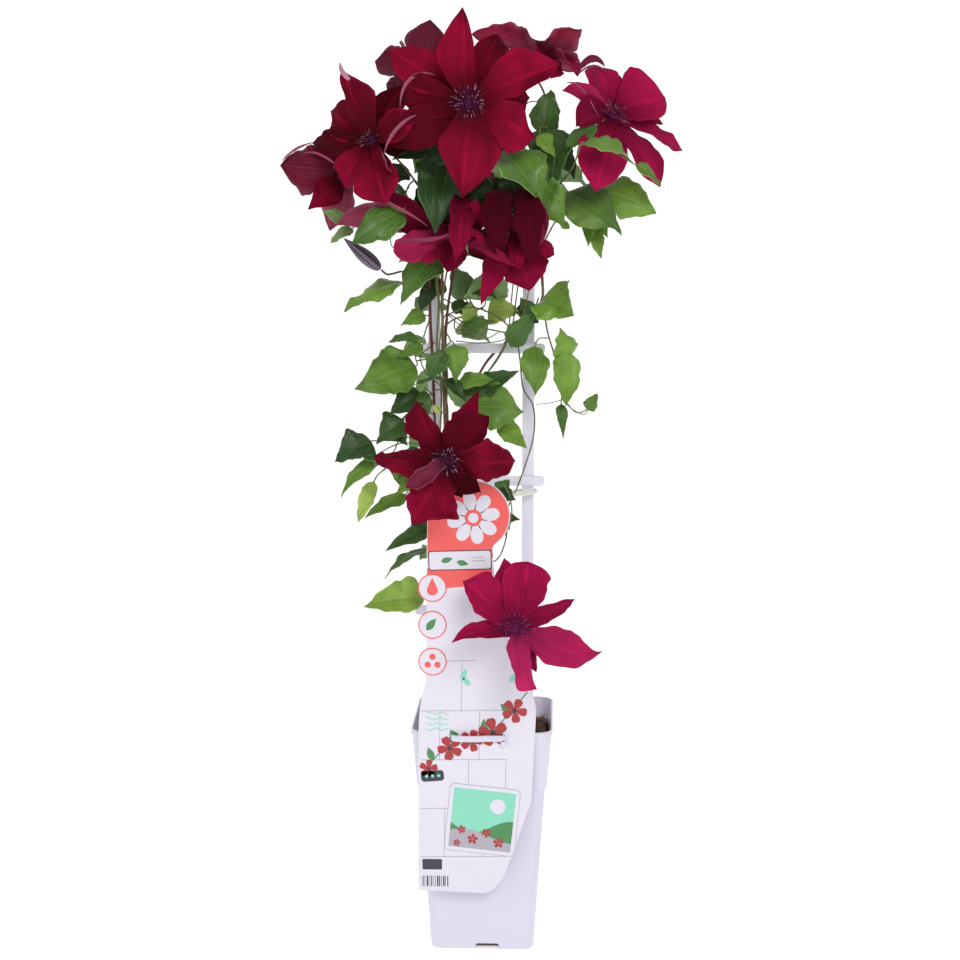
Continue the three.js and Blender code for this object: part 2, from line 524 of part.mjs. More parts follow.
// The root ball fills the pot: straight sides inside the walls, a lumpy top, and holes for what stands in it.
function soilBody(standing) {
  const inset = POT.wall + GAP;
  const neck = POT.height - POT.collarHeight + POT.wall;
  const slope = (POT.rimHalf - POT.collarHalf) / (POT.height - neck);
  const topHalf = POT.collarHalf - inset + slope * (SOIL.top - neck) - GAP;
  const rings = [
    squareRing(POT.baseHalf - inset - 0.2, POT.cornerRadius - 2, POT.floor + GAP),
    squareRing(POT.neckHalf - inset - 0.4, POT.cornerRadius - 2, neck + GAP),
    squareRing(POT.collarHalf - inset - 0.2, POT.cornerRadius - 1, neck + GAP),
    squareRing(topHalf, POT.cornerRadius, SOIL.top - 2 * SOIL.relief),
  ];
  const ball = ringSolid(rings);
  const cells = SOIL.gridCells;
  const surface = new THREE.BoxGeometry(2 * topHalf - 8, 2 * topHalf - 8, 3 * SOIL.relief, cells, cells, 1);
  const place = surface.attributes.position;
  for (let k = 0; k < place.count; k += 1) {
    if (place.getZ(k) > 0) {
      const x = place.getX(k);
      const y = place.getY(k);
      const lump = Math.sin(x * 0.31 + 1) * Math.sin(y * 0.27) + 0.6 * Math.sin(x * 0.83 + y * 0.57);
      const share = Math.max(Math.abs(x), Math.abs(y)) > topHalf - 5 ? SOIL.rimShare : 1;
      place.setZ(k, share * (1.5 + 0.5 * lump) * SOIL.relief);
    }
  }
  surface.translate(0, 0, SOIL.top - 3 * SOIL.relief);
  return mainBody(cleared(ball.add(solidOf(surface)), standing));
}

// Two channel rails and four bars; like every body with a `grow`, it can be made larger all round.
function trellisBody(grow = 0) {
  const half = TRELLIS.railWidth / 2 + grow;
  const depth = TRELLIS.railDepth / 2 + grow;
  const web = TRELLIS.web + 2 * grow;
  const channel = [[-half, -depth], [half, -depth], [half, depth], [half - web, depth],
    [half - web, -depth + web], [-half + web, -depth + web], [-half + web, depth], [-half, depth]];
  const rails = TRELLIS.railX.map((x) => {
    const geometry = slab(channel, TRELLIS.top - TRELLIS.bottom + 2 * grow);
    geometry.translate(x, TRELLIS.y, TRELLIS.bottom - grow);
    return solidOf(geometry);
  });
  const [from, to] = [TRELLIS.barX[0] - grow, TRELLIS.barX[1] + grow];
  const high = TRELLIS.barHeight / 2 + grow;
  const round = TRELLIS.barCorner;
  const front = TRELLIS.y - TRELLIS.railDepth / 2 + TRELLIS.barSink;
  const bars = TRELLIS.barZ.map((z) => {
    const ends = [[from + round, -high], [to - round, -high], [to, -high + round], [to, high - round],
      [to - round, high], [from + round, high], [from, high - round], [from, -high + round]];
    const geometry = slab(ends, TRELLIS.barDepth + 2 * grow);
    geometry.rotateX(Math.PI / 2);
    geometry.translate(0, front + grow, z);
    return solidOf(geometry);
  });
  return joined([...rails, ...bars]);
}

// The hanging label: one cut-out sheet with badges down its left edge and a round head.
function labelBody(grow = 0) {
  const { head } = LABEL;
  const outline = new THREE.Shape();
  outline.moveTo(-58, 64);
  outline.lineTo(4, 62);
  outline.quadraticCurveTo(18, 66, 26, 92);
  outline.lineTo(46, 150);
  outline.lineTo(50, 236);
  outline.quadraticCurveTo(46, 262, 30, 290);
  outline.quadraticCurveTo(14, 320, 10, 384);
  outline.absarc(head.x, head.z, head.radius, -0.95, Math.PI * 0.8, false);
  outline.lineTo(-48, 424);
  outline.lineTo(-49, 370);
  outline.lineTo(-50, 262);
  outline.quadraticCurveTo(-58, 240, -57, 200);
  const points = outline.getPoints(5);
  const deep = LABEL.thickness + 2 * grow;
  const upright = (shape, curveSegments) => {
    const geometry = new THREE.ExtrudeGeometry(shape, { depth: deep, bevelEnabled: false, curveSegments });
    geometry.rotateX(Math.PI / 2);
    geometry.translate(0, LABEL.y + LABEL.thickness + grow, 0);
    return solidOf(geometry);
  };
  const sheet = upright(new THREE.Shape(points), 1);
  const badges = LABEL.badges.map(([x, z]) => {
    const disc = new THREE.Shape().absarc(x, z, LABEL.badgeRadius + grow, 0, 2 * Math.PI, false);
    return upright(disc, 7);
  });
  const slots = LABEL.slotX.map((x) => {
    const geometry = new THREE.BoxGeometry(LABEL.slotWidth, 6, LABEL.slotHeight);
    geometry.translate(x + STRAP.thickness / 2, LABEL.y, (STRAP.bottom + STRAP.top) / 2);
    return solidOf(geometry);
  });
  return slots.reduce((rest, slot) => rest.subtract(slot), joined([sheet, ...badges]));
}

// A flat band closed round the right rail and the shoot beside it, with a short tail.
function tieBody(grow = 0) {
  const low = TIE.bottom - grow;
  const high = TIE.top + grow;
  const loop = [[48.2, 14], [48.2, 25], [45, 25.8], [36, 25.8], [28, 20], [21.5, 8], [22, -1], [28, -3.5],
    [36, 1], [44, 9]];
  const middle = new THREE.Vector2(...TIE.middle);
  const at = ([x, y], offset, z) => {
    const out = new THREE.Vector2(x, y).sub(middle).normalize().multiplyScalar(offset);
    return new THREE.Vector3(x + out.x, y + out.y, z);
  };
  const thick = TIE.halfThickness + grow;
  const rings = loop.map((spot) => [at(spot, thick, low), at(spot, thick, high), at(spot, -thick, high),
    at(spot, -thick, low)]);
  const points = rings.flat();
  const triangles = [];
  for (let k = 0; k < rings.length; k += 1) {
    for (let side = 0; side < 4; side += 1) {
      const a = k * 4 + side;
      const b = k * 4 + ((side + 1) % 4);
      const c = ((k + 1) % rings.length) * 4 + ((side + 1) % 4);
      const d = ((k + 1) % rings.length) * 4 + side;
      triangles.push(a, b, c, a, c, d);
    }
  }
  const closed = outwardSolid(points, triangles);
  const tail = slab([[23, -1.6 - grow], [23, -0.2 + grow], [4, -3.2 + grow], [4, -4.6 - grow]], high - low);
  tail.translate(0, 0, low);
  return closed.add(solidOf(tail));
}

// ---- Plant ----

function facing(bloom) {
  return vec(bloom.face).normalize();
}

// A branch path; the one that carries a bloom ends straight behind its hub, a gap away from it.
function branchPath(branch) {
  const points = branch.points.map(vec);
  if (branch.bloom) {
    const bloom = BLOOMS[branch.bloom];
    const out = facing(bloom);
    const end = vec(bloom.at).addScaledVector(out, -HUB.half - GAP);
    points.push(end.clone().addScaledVector(out, -STALK_RUN), end);
  }
  return new THREE.CatmullRomCurve3(points, false, 'centripetal');
}

function stemBody(branches, grow = 0) {
  const rods = branches.map((branch) => {
    const thick = branch.radius === STEM_RADIUS;
    const [sides, stepLength] = thick ? [5, STEM_STEP] : [4, STALK_STEP];
    return rod(branchPath(branch), branch.radius + grow, sides, stepLength);
  });
  return joined(rods);
}

// Each tepal's direction out from the hub and its angle round it, in order of angle.
function petalsOf(bloom) {
  const out = facing(bloom);
  const start = vec(bloom.tepals[0].tip).sub(vec(bloom.at)).projectOnPlane(out).normalize();
  const quarter = out.clone().cross(start);
  const petals = bloom.tepals.map(({ tip, width }, k) => {
    const reach = vec(tip).sub(vec(bloom.at));
    const flat = reach.clone().projectOnPlane(out);
    const radial = flat.clone().normalize();
    const angle = (Math.atan2(radial.dot(quarter), radial.dot(start)) + 2 * Math.PI) % (2 * Math.PI);
    return { k, width, tip: vec(tip), radial, length: flat.length(), height: reach.dot(out), angle };
  });
  return petals.sort((a, b) => a.angle - b.angle);
}

// Every second tepal lies in front, the others at the back and, where their number is odd, the last between.
function layersOf(bloom) {
  const petals = petalsOf(bloom);
  const odd = petals.length % 2 === 1;
  const paired = odd ? petals.slice(0, -1) : petals;
  const level = odd ? TEPAL.oddLevel : TEPAL.evenLevel;
  const layers = [
    { level, cup: TEPAL.cup, petals: paired.filter((_, k) => k % 2 === 0) },
    { level: -level, cup: -TEPAL.cup, petals: paired.filter((_, k) => k % 2 === 1) },
  ];
  if (odd) {
    layers.push({ level: 0, cup: 0, petals: petals.slice(-1) });
  }
  return layers;
}

// One layer of tepals on a low hub, as one skin.
function whorlBody(bloom, { level, cup, petals }, grow) {
  const out = facing(bloom);
  const centre = vec(bloom.at);
  const lift = HUB.half + grow;
  const points = [
    centre.clone().addScaledVector(out, level > 0 ? lift : HUB.core),
    centre.clone().addScaledVector(out, level < 0 ? -lift : -HUB.core),
  ];
  const triangles = [];
  const upperRing = [];
  const lowerRing = [];
  petals.forEach(({ k, width, tip, radial, length, height }) => {
    const base = centre.clone().addScaledVector(radial, HUB.radius).addScaledVector(out, level);
    const bend = centre.clone().addScaledVector(radial, length * TEPAL.bendAt)
      .addScaledVector(out, bloom.bow + level + Math.max(0, height) * TEPAL.bendRise);
    const rib = new THREE.QuadraticBezierCurve3(base, bend, tip);
    const halfThickness = TEPAL.thickness / 2;
    const rows = TEPAL_ROWS.map(([t, share]) => ({
      at: rib.getPoint(t), halfWidth: width / 2 * share, halfThickness,
    }));
    rows.unshift({ at: base, halfWidth: TEPAL.baseWidth / 2, halfThickness });
    const faces = bladeFaces({
      rows,
      columns: [-1, 0, 1],
      side: out.clone().cross(radial),
      cup,
      waves: TEPAL.wave,
      phase: k * 1.7,
      grow,
    });
    const upper = points.length;
    const lower = upper + faces.upper.length;
    points.push(...faces.upper, ...faces.lower);
    triangles.push(...bladeTriangles(upper, lower, rows.length, 3));
    upperRing.push(upper, upper + 1, upper + 2);
    lowerRing.push(lower, lower + 1, lower + 2);
  });
  upperRing.forEach((here, k) => {
    const next = (k + 1) % upperRing.length;
    triangles.push(0, here, upperRing[next], 1, lowerRing[next], lowerRing[k]);
    if (k % 3 === 2) {
      triangles.push(upperRing[next], here, lowerRing[k], upperRing[next], lowerRing[k], lowerRing[next]);
    }
  });
  return indexedSolid(points, triangles);
}

function tepalsBody(bloom, grow = 0) {
  return joined(layersOf(bloom).map((layer) => whorlBody(bloom, layer, grow)));
}

// A crown of pointed stamens round a low boss, as one skin: each point rises between two valleys.
function crown({ count, root, reach, height, rise }, turn, grow) {
  const points = [new THREE.Vector3(0, -grow, 0), new THREE.Vector3(0, height + grow, 0)];
  const place = (radius, y, angle) => {
    const [x, z] = [radius * Math.cos(angle), radius * Math.sin(angle)];
    return new THREE.Vector3(x, y, z);
  };
  for (let k = 0; k < count; k += 1) {
    const angle = (k + turn) / count * 2 * Math.PI;
    const peak = angle + Math.PI / count;
    points.push(place(root + grow, -grow, angle), place(root + grow, height + grow, angle));
    const tipRadius = reach + grow + 1.2 * wave(k, turn);
    points.push(place(tipRadius, rise + 2 * grow + wave(k, 1 + turn), peak));
  }
  const triangles = [];
  for (let k = 0; k < count; k += 1) {
    const low = 2 + 3 * k;
    const high = low + 1;
    const peak = low + 2;
    const nextLow = 2 + 3 * ((k + 1) % count);
    const nextHigh = nextLow + 1;
    triangles.push(0, low, nextLow, 1, nextHigh, high, peak, nextLow, low, peak, low, high);
    triangles.push(peak, high, nextHigh, peak, nextHigh, nextLow);
  }
  return [points, triangles];
}

function stamensBody(bloom, grow = 0) {
  const out = facing(bloom);
  const seat = vec(bloom.at).addScaledVector(out, HUB.half + GAP);
  const onto = new THREE.Quaternion().setFromUnitVectors(new THREE.Vector3(0, 1, 0), out);
  const crowns = [STAMENS.outer, STAMENS.inner].map((ring, k) => {
    const [points, triangles] = crown(ring, 0.4 * k, grow);
    return outwardSolid(points.map((point) => point.applyQuaternion(onto).add(seat)), triangles);
  });
  return joined(crowns);
}

// A closed pointed bud.
function budBody({ base, tip, radius }, grow = 0) {
  const from = vec(base);
  const along = vec(tip).sub(from);
  const length = along.length();
  const profile = [[0, 0], [0.5, 0.02], [0.95, 0.22], [1, 0.42], [0.72, 0.7], [0.3, 0.92], [0, 1]];
  const geometry = turned(profile.map(([r, t]) => [r === 0 ? 0 : r * radius + grow, t * length]), 8);
  return solidOf(placed(geometry, from, along.normalize()));
}

// The place on a rod's axis that lies nearest to a point, past the rod's first stretch.
function nearestOn(path, stepLength, target) {
  const joints = path.getSpacedPoints(Math.max(2, Math.round(path.getLength() / stepLength)));
  const shares = [0.35, 0.6, 0.8, 0.97];
  const places = joints.slice(1).flatMap((joint, k) => shares.map((t) => joints[k].clone().lerp(joint, t)));
  const nearer = (best, spot) => (spot.distanceTo(target) < best.distanceTo(target) ? spot : best);
  return places.reduce(nearer);
}

// A leaf stalk with its leaflets; each leaflet's own short stalk runs in as the first row of its blade.
function sprayBody(spray, grow = 0) {
  const stalk = new THREE.CatmullRomCurve3(spray.stalk.map(vec), false, 'centripetal');
  const parts = [rod(stalk, PETIOLE_RADIUS + grow, 4, LEAF.stalkStep)];
  spray.leaflets.forEach(([basePoint, tipPoint, width, face], k) => {
    const base = vec(basePoint);
    const tip = vec(tipPoint);
    const along = tip.clone().sub(base);
    const length = along.length();
    along.normalize();
    const outward = vec(face).normalize();
    const normal = outward.clone().addScaledVector(along, -outward.dot(along)).normalize();
    const start = nearestOn(stalk, LEAF.stalkStep, base);
    const bend = base.clone().lerp(tip, 0.5).addScaledVector(normal, 2 * LEAF.bow * length);
    const rib = new THREE.QuadraticBezierCurve3(base, bend, tip);
    const stalkHalf = LEAF.stalk / 2;
    const large = length > LEAF.largeFrom;
    const rows = (large ? LEAF_ROWS : SMALL_LEAF_ROWS).map(([t, share]) => ({
      at: rib.getPoint(t),
      halfWidth: Math.max(width / 2 * share, LEAF.thickness / 2),
      halfThickness: LEAF.thickness / 2,
    }));
    parts.push(blade({
      rows: [{ at: start, halfWidth: stalkHalf, halfThickness: stalkHalf }, ...rows],
      columns: large ? [-1, 0, 1] : [-1, 1],
      side: normal.clone().cross(along),
      cup: LEAF.cup,
      waves: LEAF.wave,
      phase: k * 1.3,
      grow,
    }));
  });
  return joined(parts);
}

// ---- Assembly ----

function mapValues(record, build) {
  const pairs = Object.entries(record).map(([name, item]) => [name, build(item)]);
  return Object.fromEntries(pairs);
}

const trellisAir = trellisBody(GAP);
const tieAir = tieBody(GAP);
const labelAir = labelBody(GAP);
const stemAirs = mapValues(STEMS, (branches) => stemBody(branches, GAP));
const soilHoles = Object.values(STEMS).map((branches) => stemBody(branches, SOIL.holeGrow));

const bodies = {
  pot: potBody(),
  soil: soilBody([trellisBody(SOIL.holeGrow), ...soilHoles]),
  trellis: trellisBody(),
  label: labelBody(),
  tie: tieBody(),
  ...mapValues(STEMS, (branches) => stemBody(branches)),
};

// Blooms are cleared of the fixed pieces and of the blooms before them; sprays are cleared of everything.
const fixedAirs = [trellisAir, tieAir, labelAir, ...Object.values(stemAirs)];
const plantAirs = [];
const bloomNames = Object.keys(BLOOMS);
bloomNames.forEach((name) => {
  const bloom = BLOOMS[name];
  const tepals = cleared(tepalsBody(bloom), [...fixedAirs, ...plantAirs]);
  bodies[`bloom_${name}`] = mainBody(tepals);
  plantAirs.push(tepalsBody(bloom, GAP), stamensBody(bloom, GAP));
});
bloomNames.forEach((name, k) => {
  const others = plantAirs.filter((_, index) => index !== 2 * k + 1);
  bodies[`stamens_${name}`] = mainBody(cleared(stamensBody(BLOOMS[name]), [...fixedAirs, ...others]));
});
Object.entries({ bud_long: LONG_BUD, bud_small: SMALL_BUD }).forEach(([name, bud]) => {
  bodies[name] = mainBody(cleared(budBody(bud), [...fixedAirs, ...plantAirs]));
  plantAirs.push(budBody(bud, GAP));
});
Object.entries(SPRAYS).forEach(([name, spray]) => {
  bodies[name] = mainBody(cleared(sprayBody(spray), [...fixedAirs, ...plantAirs]));
  plantAirs.push(sprayBody(spray, GAP));
});

function colourOf(name) {
  if (name.startsWith('bloom_')) {
    return COLOURS.tepal;
  }
  if (name.startsWith('stamens_')) {
    return COLOURS.stamen;
  }
  if (name.startsWith('leaf') || name.startsWith('leaves')) {
    return COLOURS[SPRAYS[name].colour ?? 'leaf'];
  }
  if (name.startsWith('stem_')) {
    return COLOURS.stem;
  }
  return COLOURS[name.split('_')[0]];
}

const GLOSS = { pot: 0.35, trellis: 0.4, label: 0.45, tie: 0.5, soil: 0.95 };

const group = new THREE.Group();
group.name = 'clematis';
Object.entries(bodies).forEach(([name, body]) => {
  const material = new THREE.MeshStandardMaterial({
    color: colourOf(name), roughness: GLOSS[name] ?? 0.6, metalness: 0,
  });
  const mesh = new THREE.Mesh(geometryOf(body), material);
  mesh.name = name;
  const home = BLOOMS[name.replace(/^(bloom|stamens)_/, '')]?.at;
  if (home) {
    mesh.geometry.translate(-home[0], -home[1], -home[2]);
    mesh.position.set(...home);
  }
  group.add(mesh);
});

export default group;
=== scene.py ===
"""A large-flowered clematis on a ladder trellis, in its square pot with a hanging plant label.

Lengths in the tables are millimetres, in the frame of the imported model: +Z up, the front faces -Y.
"""
import math
import random

import bpy
import numpy as np
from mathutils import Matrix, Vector


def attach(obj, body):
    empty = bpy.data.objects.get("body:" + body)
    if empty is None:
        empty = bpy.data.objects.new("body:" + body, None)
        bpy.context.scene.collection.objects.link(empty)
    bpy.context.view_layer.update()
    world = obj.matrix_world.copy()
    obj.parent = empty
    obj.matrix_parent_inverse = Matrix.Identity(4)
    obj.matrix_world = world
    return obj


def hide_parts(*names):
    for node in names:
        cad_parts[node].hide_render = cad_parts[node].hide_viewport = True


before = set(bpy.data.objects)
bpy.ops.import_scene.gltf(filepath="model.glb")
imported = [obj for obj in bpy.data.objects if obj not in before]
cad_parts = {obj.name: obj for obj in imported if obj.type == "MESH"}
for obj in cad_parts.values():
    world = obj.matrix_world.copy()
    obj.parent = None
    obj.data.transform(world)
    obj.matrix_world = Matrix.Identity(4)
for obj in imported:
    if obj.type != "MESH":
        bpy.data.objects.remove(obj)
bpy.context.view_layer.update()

bl_info = {
    "name": "Clematis on a trellis",
    "version": (1, 0, 0),
    "blender": (4, 5, 0),
    "location": "View3D > Sidebar > Clematis",
    "description": "Builds a flowering clematis on its trellis, with pot, compost, tie and plant label",
    "category": "Add Mesh",
}

MM = 0.001
BODY = "root"
CUT_UV = "UVMap"
# Name of each piece's tone attribute: painted light and shade on tepals and leaves, the young green share on stems.
SHADE_AND_TONE = "tone"


# ---- Placement tables ----

def tepal(tip, level, cw=(9, 16, 18, 12), ccw=None, **shape):
    """One tepal: its tip, how high its root lies, its half widths on both sides, and its further shape."""
    return {"tip": tip, "level": level, "cw": cw, "ccw": ccw or cw, **shape}


# Blooms: at is the hub's centre, face the way the bloom looks and crown the way its stamens point, if another.
# Bow arches the tepals, and stamens stretches the stamens. Tint is the freshness of the colour, shade how far painted
# shade darkens the heart and blush how pink the backs are, each from 0 to 1.
# The tepals run from the front to the back. Their half widths lie at a fifth, two, three and four fifths of the
# length, on the clockwise and on the other side as the bloom is looked at, which is the same where it isn't given.
# Root is the half width at the hub; blunt rounds the tip; nick roughens the edges, wave and pucker the blade; fold
# and roll bend its two halves up, roll in radians, and rim only their outer quarter; twist turns it towards the tip,
# in degrees, the later the larger late is; side sets where its second half lies; rib gives its course before the
# tip; sway bends it sideways; hook bends its tip up; tone is painted light and shade, from -1, a pale painted
# highlight, to 1, painted shade that is nearly black. Nick and tone of a bloom stand for all its tepals. Curls are
# narrow blades: half width, points along them and tone, pale as a painted highlight where it is under 0.
BLOOMS = {
    "top": dict(at=(-10, -95, 774), face=(0.05, -1, 0.06), bow=6, tepals=[
        tepal((-15, -88, 854), 2.6, (8, 9, 8, 5), (17, 25, 20, 10), roll=(-0.9, 0.35), hook=3, tone=0.3),
        tepal((14, -66, 834), -1.6, (11, 19, 21, 15), (10, 14, 14, 10), roll=(0.4, 0.5), tone=0.65),
        tepal((68, -80, 808), 0.8, (9, 12, 10, 8), (13, 24, 25, 15), roll=(0.3, 0.35), wave=2.2, tone=0.25),
        tepal((42, -72, 780), -1.2, (9, 14, 17, 14), (9, 14, 17, 15), roll=(0.2, 0.3), wave=2.2, tone=0.55),
        tepal((47, -74, 746), 0.2, (8, 16, 23, 20), (9, 16, 19, 6), roll=(0.3, 0.2), wave=2.6, tone=0.4),
        tepal((-16, -84, 694), 2.2, (15, 23, 16, 7), (19, 30, 27, 14), roll=(0.15, -0.25), wave=1.4, blunt=0.6),
        tepal((-80, -74, 738), 0.8, (10, 18, 18, 15), (11, 19, 17, 9), roll=(0.3, -0.1), tone=0.65),
        tepal((-66, -84, 775), -0.2, (10, 20, 25, 20), (11, 15, 13, 8), roll=(0.9, 0.1), tone=0.6),
        tepal((-78, -72, 820), -1.8, (9, 17, 18, 12), (9, 16, 17, 12), roll=(0.2, 0.2), tone=0.35)],
        curls=[(1.6, [(-38, -96, 797), (-54, -103, 804), (-68, -101, 790), (-68, -94, 770)], -0.4)]),
    "left": dict(at=(-94, -60, 743), face=(-0.45, -0.86, 0.16), bow=7, crown=(-0.3, -0.45, 0.84), stamens=0.85,
        tepals=[
        tepal((-123, -48, 808), 2.4, (16, 24, 17, 6), (9, 10, 7, 5), roll=(0.3, -0.6), twist=165, late=7),
        tepal((-137, -18, 772), -1.6, (11, 19, 20, 12), (9, 16, 15, 5), roll=(0.2, 0.3)),
        tepal((-154, -16, 744), 0.8, (8, 10, 10, 6), (10, 17, 16, 9), roll=(0.5, -0.3), wave=2, tone=0.7, blunt=0.5),
        tepal((-123, -40, 704), -1, (8, 14, 15, 10), roll=(0.8, 0.8)),
        tepal((-81, -80, 690), 1.2, (12, 21, 23, 18), (10, 16, 18, 14), roll=(0.5, -0.5), wave=2),
        tepal((-76, -84, 716), 3.4, (4, 7, 7, 5), (4, 7, 8, 5), rim=(2.2, 2.2), twist=150, late=4),
        tepal((-53, -92, 764), 2.4, (8, 14, 14, 8), (8, 13, 14, 9), roll=(0.2, 0.7), tone=0.35, blunt=0.5),
        tepal((-66, -48, 792), -1.6, (9, 16, 17, 11), tone=0.6),
        tepal((-62, -46, 744), -2, (9, 15, 16, 10), tone=1)],
        curls=[(1.8, [(-54, -98, 764), (-66, -99, 760), (-79, -94, 747), (-83, -85, 731)]),
               (2.3, [(-124, -52, 812), (-124, -54, 803), (-117, -54, 798), (-112, -52, 794)], -0.9)]),
    "far_left": dict(at=(-122, -20, 717), face=(-0.82, -0.3, -0.42), bow=7, blush=0.45, tepals=[
        tepal((-182, -25, 724), 1, (12, 21, 23, 15), (12, 22, 24, 15), side=(0, 0.2, 1), wave=3.4, roll=(0.5, 0.8),
              tone=0.6, nick=2.5, pucker=0.9),
        tepal((-156, -36, 685), 2, (9, 14, 11, 5), (9, 14, 12, 5), side=(0.66, 0, -0.75), wave=2, tone=0.45),
        tepal((-140, -10, 666), 0.6, (10, 15, 14, 7), (10, 15, 15, 8), side=(-0.94, 0, 0.33), wave=2, roll=(0.5, 0.4),
              tone=-0.1),
        tepal((-165, 8, 738), -1.4, (10, 17, 18, 12)),
        tepal((-150, 22, 698), 1.6, (9, 16, 18, 12), (10, 18, 19, 12), wave=2)],
        curls=[(1.1, [(-178, -36, 728), (-172, -38, 736), (-160, -38, 742), (-150, -36, 744)]),
               (1.1, [(-158, -42, 734), (-148, -46, 738), (-136, -46, 730), (-124, -44, 720)])]),
    "back_left": dict(at=(-59, 10, 803), face=(-0.3, 0.62, 0.72), bow=5, tone=0.6, blush=0.3, tepals=[
        tepal((-99, 5, 818), 1.4, (9, 16, 18, 15), (9, 17, 20, 16), roll=(0.7, 0.4)),
        tepal((-84, -20, 778), -2, (7, 12, 13, 9), roll=(0.9, 0.5), tone=0.9, wave=2),
        tepal((-49, 12, 855), -1.4, (10, 18, 20, 14), roll=(0.9, -0.6)),
        tepal((-80, 42, 838), 1.4, wave=2),
        tepal((-26, 50, 826), 1.2),
        tepal((-86, 34, 786), -1.2, (9, 16, 17, 11), wave=2),
        tepal((-50, 56, 796), -1)]),
    "back_right": dict(at=(45, 40, 823), face=(0.2, 0.5, 0.84), bow=5, tint=0.35, blush=0.75, tepals=[
        tepal((88, 30, 848), 1.4, (10, 19, 20, 10), (11, 20, 22, 12), roll=(-0.6, 0.3), wave=2.2),
        tepal((8, 26, 850), -1.4, rim=(0, 1.6), wave=2),
        tepal((-12, 12, 842), 1.8, (7, 10, 11, 8), (7, 10, 11, 7), roll=(0.9, 1.2), twist=60, wave=2),
        tepal((42, 4, 838), -2.4, (8, 15, 17, 12), (8, 14, 16, 10), roll=(1.1, 0.8), twist=-30, tone=0.7),
        tepal((84, 10, 804), 2.2, (9, 16, 18, 13), (9, 17, 18, 12), roll=(0.5, 0.6), twist=25, wave=2),
        tepal((70, 78, 838), -1.2, wave=2),
        tepal((34, 88, 838), 1.2),
        tepal((88, 52, 812), -0.6, (9, 16, 18, 12), (9, 16, 17, 11)),
        tepal((6, 58, 808), 0.6, (9, 15, 17, 11)),
        tepal((60, 6, 802), 1.8, (10, 18, 20, 14), wave=2.4)]),
    "right": dict(at=(113, -40, 765), face=(0.34, -0.76, 0.55), crown=(0.4, -0.4, 0.82), bow=7, tint=0.75, tepals=[
        tepal((161, -25, 783), 1.8, (12, 20, 20, 16), (17, 31, 34, 25), roll=(0.2, 0.25), tone=0.2, blunt=1.6),
        tepal((100, -14, 811), -0.4, (10, 15, 17, 13), (10, 15, 18, 15), roll=(0.3, 0.3), blunt=2.2, wave=1, tone=0.4),
        tepal((70, -50, 787), 3.4, (5, 8, 9, 7), (5, 7, 7, 4), side=(-0.4, 0, -0.9), sway=-5, wave=1.2,
              roll=(-0.6, 0.2), tone=-0.35),
        tepal((82, -62, 756), 1.2, (12, 19, 21, 15), (5, 6, 5, 4), side=(0.4, 0, -0.9), roll=(0.5, 0.1), tone=0.7,
              blunt=0.5),
        tepal((99, -72, 700), 0.8, (15, 24, 25, 16), (13, 20, 21, 14), fold=-0.3, tone=0.15),
        tepal((156, -50, 704), -1, (8, 12, 12, 9), (9, 16, 17, 12), roll=(0.3, -0.7), twist=30, wave=2),
        tepal((177, -28, 736), 0.8, (6, 9, 13, 12), (6, 8, 9, 9), twist=-25, wave=1.5, tone=0.1),
        tepal((160, -20, 760), -1.4, (5, 8, 9, 6), (5, 8, 9, 7), roll=(0.8, 0.3))],
        curls=[(3.6, [(84, -16, 806), (90, -14, 818), (101, -14, 823), (108, -16, 810)], 0.35),
               (0.9, [(84, -20, 803), (90, -20, 811), (101, -20, 815), (108, -20, 806)]),
               (0.8, [(74, -58, 793), (83, -60, 797), (93, -60, 782), (102, -58, 764)]),
               (1.3, [(99, -26, 806), (100, -34, 794), (101, -40, 784), (103, -46, 774)], -0.1)]),
    "centre": dict(at=(27, -60, 674), face=(0.08, -0.74, -0.67), crown=(0, -0.1, -1), stamens=0.7, bow=9, tint=0.35,
        shade=0.9, tepals=[
        tepal((0, -74, 602), 1.2, (9, 12, 9, 5), (9, 13, 10, 5), twist=40, late=3, roll=(-0.5, 0.4), tone=0.25),
        tepal((42, -66, 614), -1, (12, 20, 21, 13), (12, 19, 22, 17), wave=3, tone=0.45, nick=3),
        tepal((34, -84, 634), 3.2, (7, 9, 8, 5), (8, 11, 10, 5), roll=(-0.9, 0.2), tone=0.2),
        tepal((40, -44, 694), 2, (7, 11, 12, 8), roll=(1.4, 1.0), tone=0.8),
        tepal((64, -56, 645), 0.8, (8, 12, 13, 9), roll=(0.6, 0.6), tone=0),
        tepal((46, -30, 698), -1, (10, 18, 20, 14), roll=(0.5, 0.6), tone=1, wave=2),
        tepal((8, -30, 698), 1.2, (10, 18, 20, 14), roll=(0.6, 0.5), tone=1, wave=2),
        tepal((-12, -52, 646), -1, (11, 18, 18, 11), tone=0.9),
        tepal((22, -58, 630), -2, (10, 16, 17, 11), tone=0.9),
        tepal((50, -66, 652), 2.4, (7, 10, 11, 7), (7, 11, 12, 7), roll=(1.2, 0.8), tone=0.1),
        tepal((33, -86, 635), 0, (4, 6, 5, 2), (3, 4, 4, 2), rib=[(-10, -86, 653), (4, -94, 660), (18, -94, 642)],
              side=(0, 0, 1), root=2, wave=1.6, roll=(-0.4, 0.9), tone=-0.2),
        tepal((50, -78, 652), 0, (4, 6, 6, 4), (4, 5, 6, 3), rib=[(46, -76, 696), (55, -84, 684), (55, -84, 668)],
              side=(-1, 0, 0), root=2, wave=1.6, roll=(-0.7, -0.5), tone=0.3),
        tepal((16, -90, 644), 0, (11, 14, 13, 8), (10, 13, 14, 10),
              rib=[(24, -64, 702), (12, -90, 694), (12, -100, 668)], side=(1, 0, 0), wave=3.4, roll=(0.9, -0.5),
              tone=0.95, nick=4, blunt=1.4),
        tepal((42, -82, 638), 0, (10, 14, 14, 9), (10, 13, 15, 10),
              rib=[(34, -62, 704), (42, -88, 696), (44, -96, 668)], side=(1, 0, 0), wave=3.4, roll=(-0.5, 1.0),
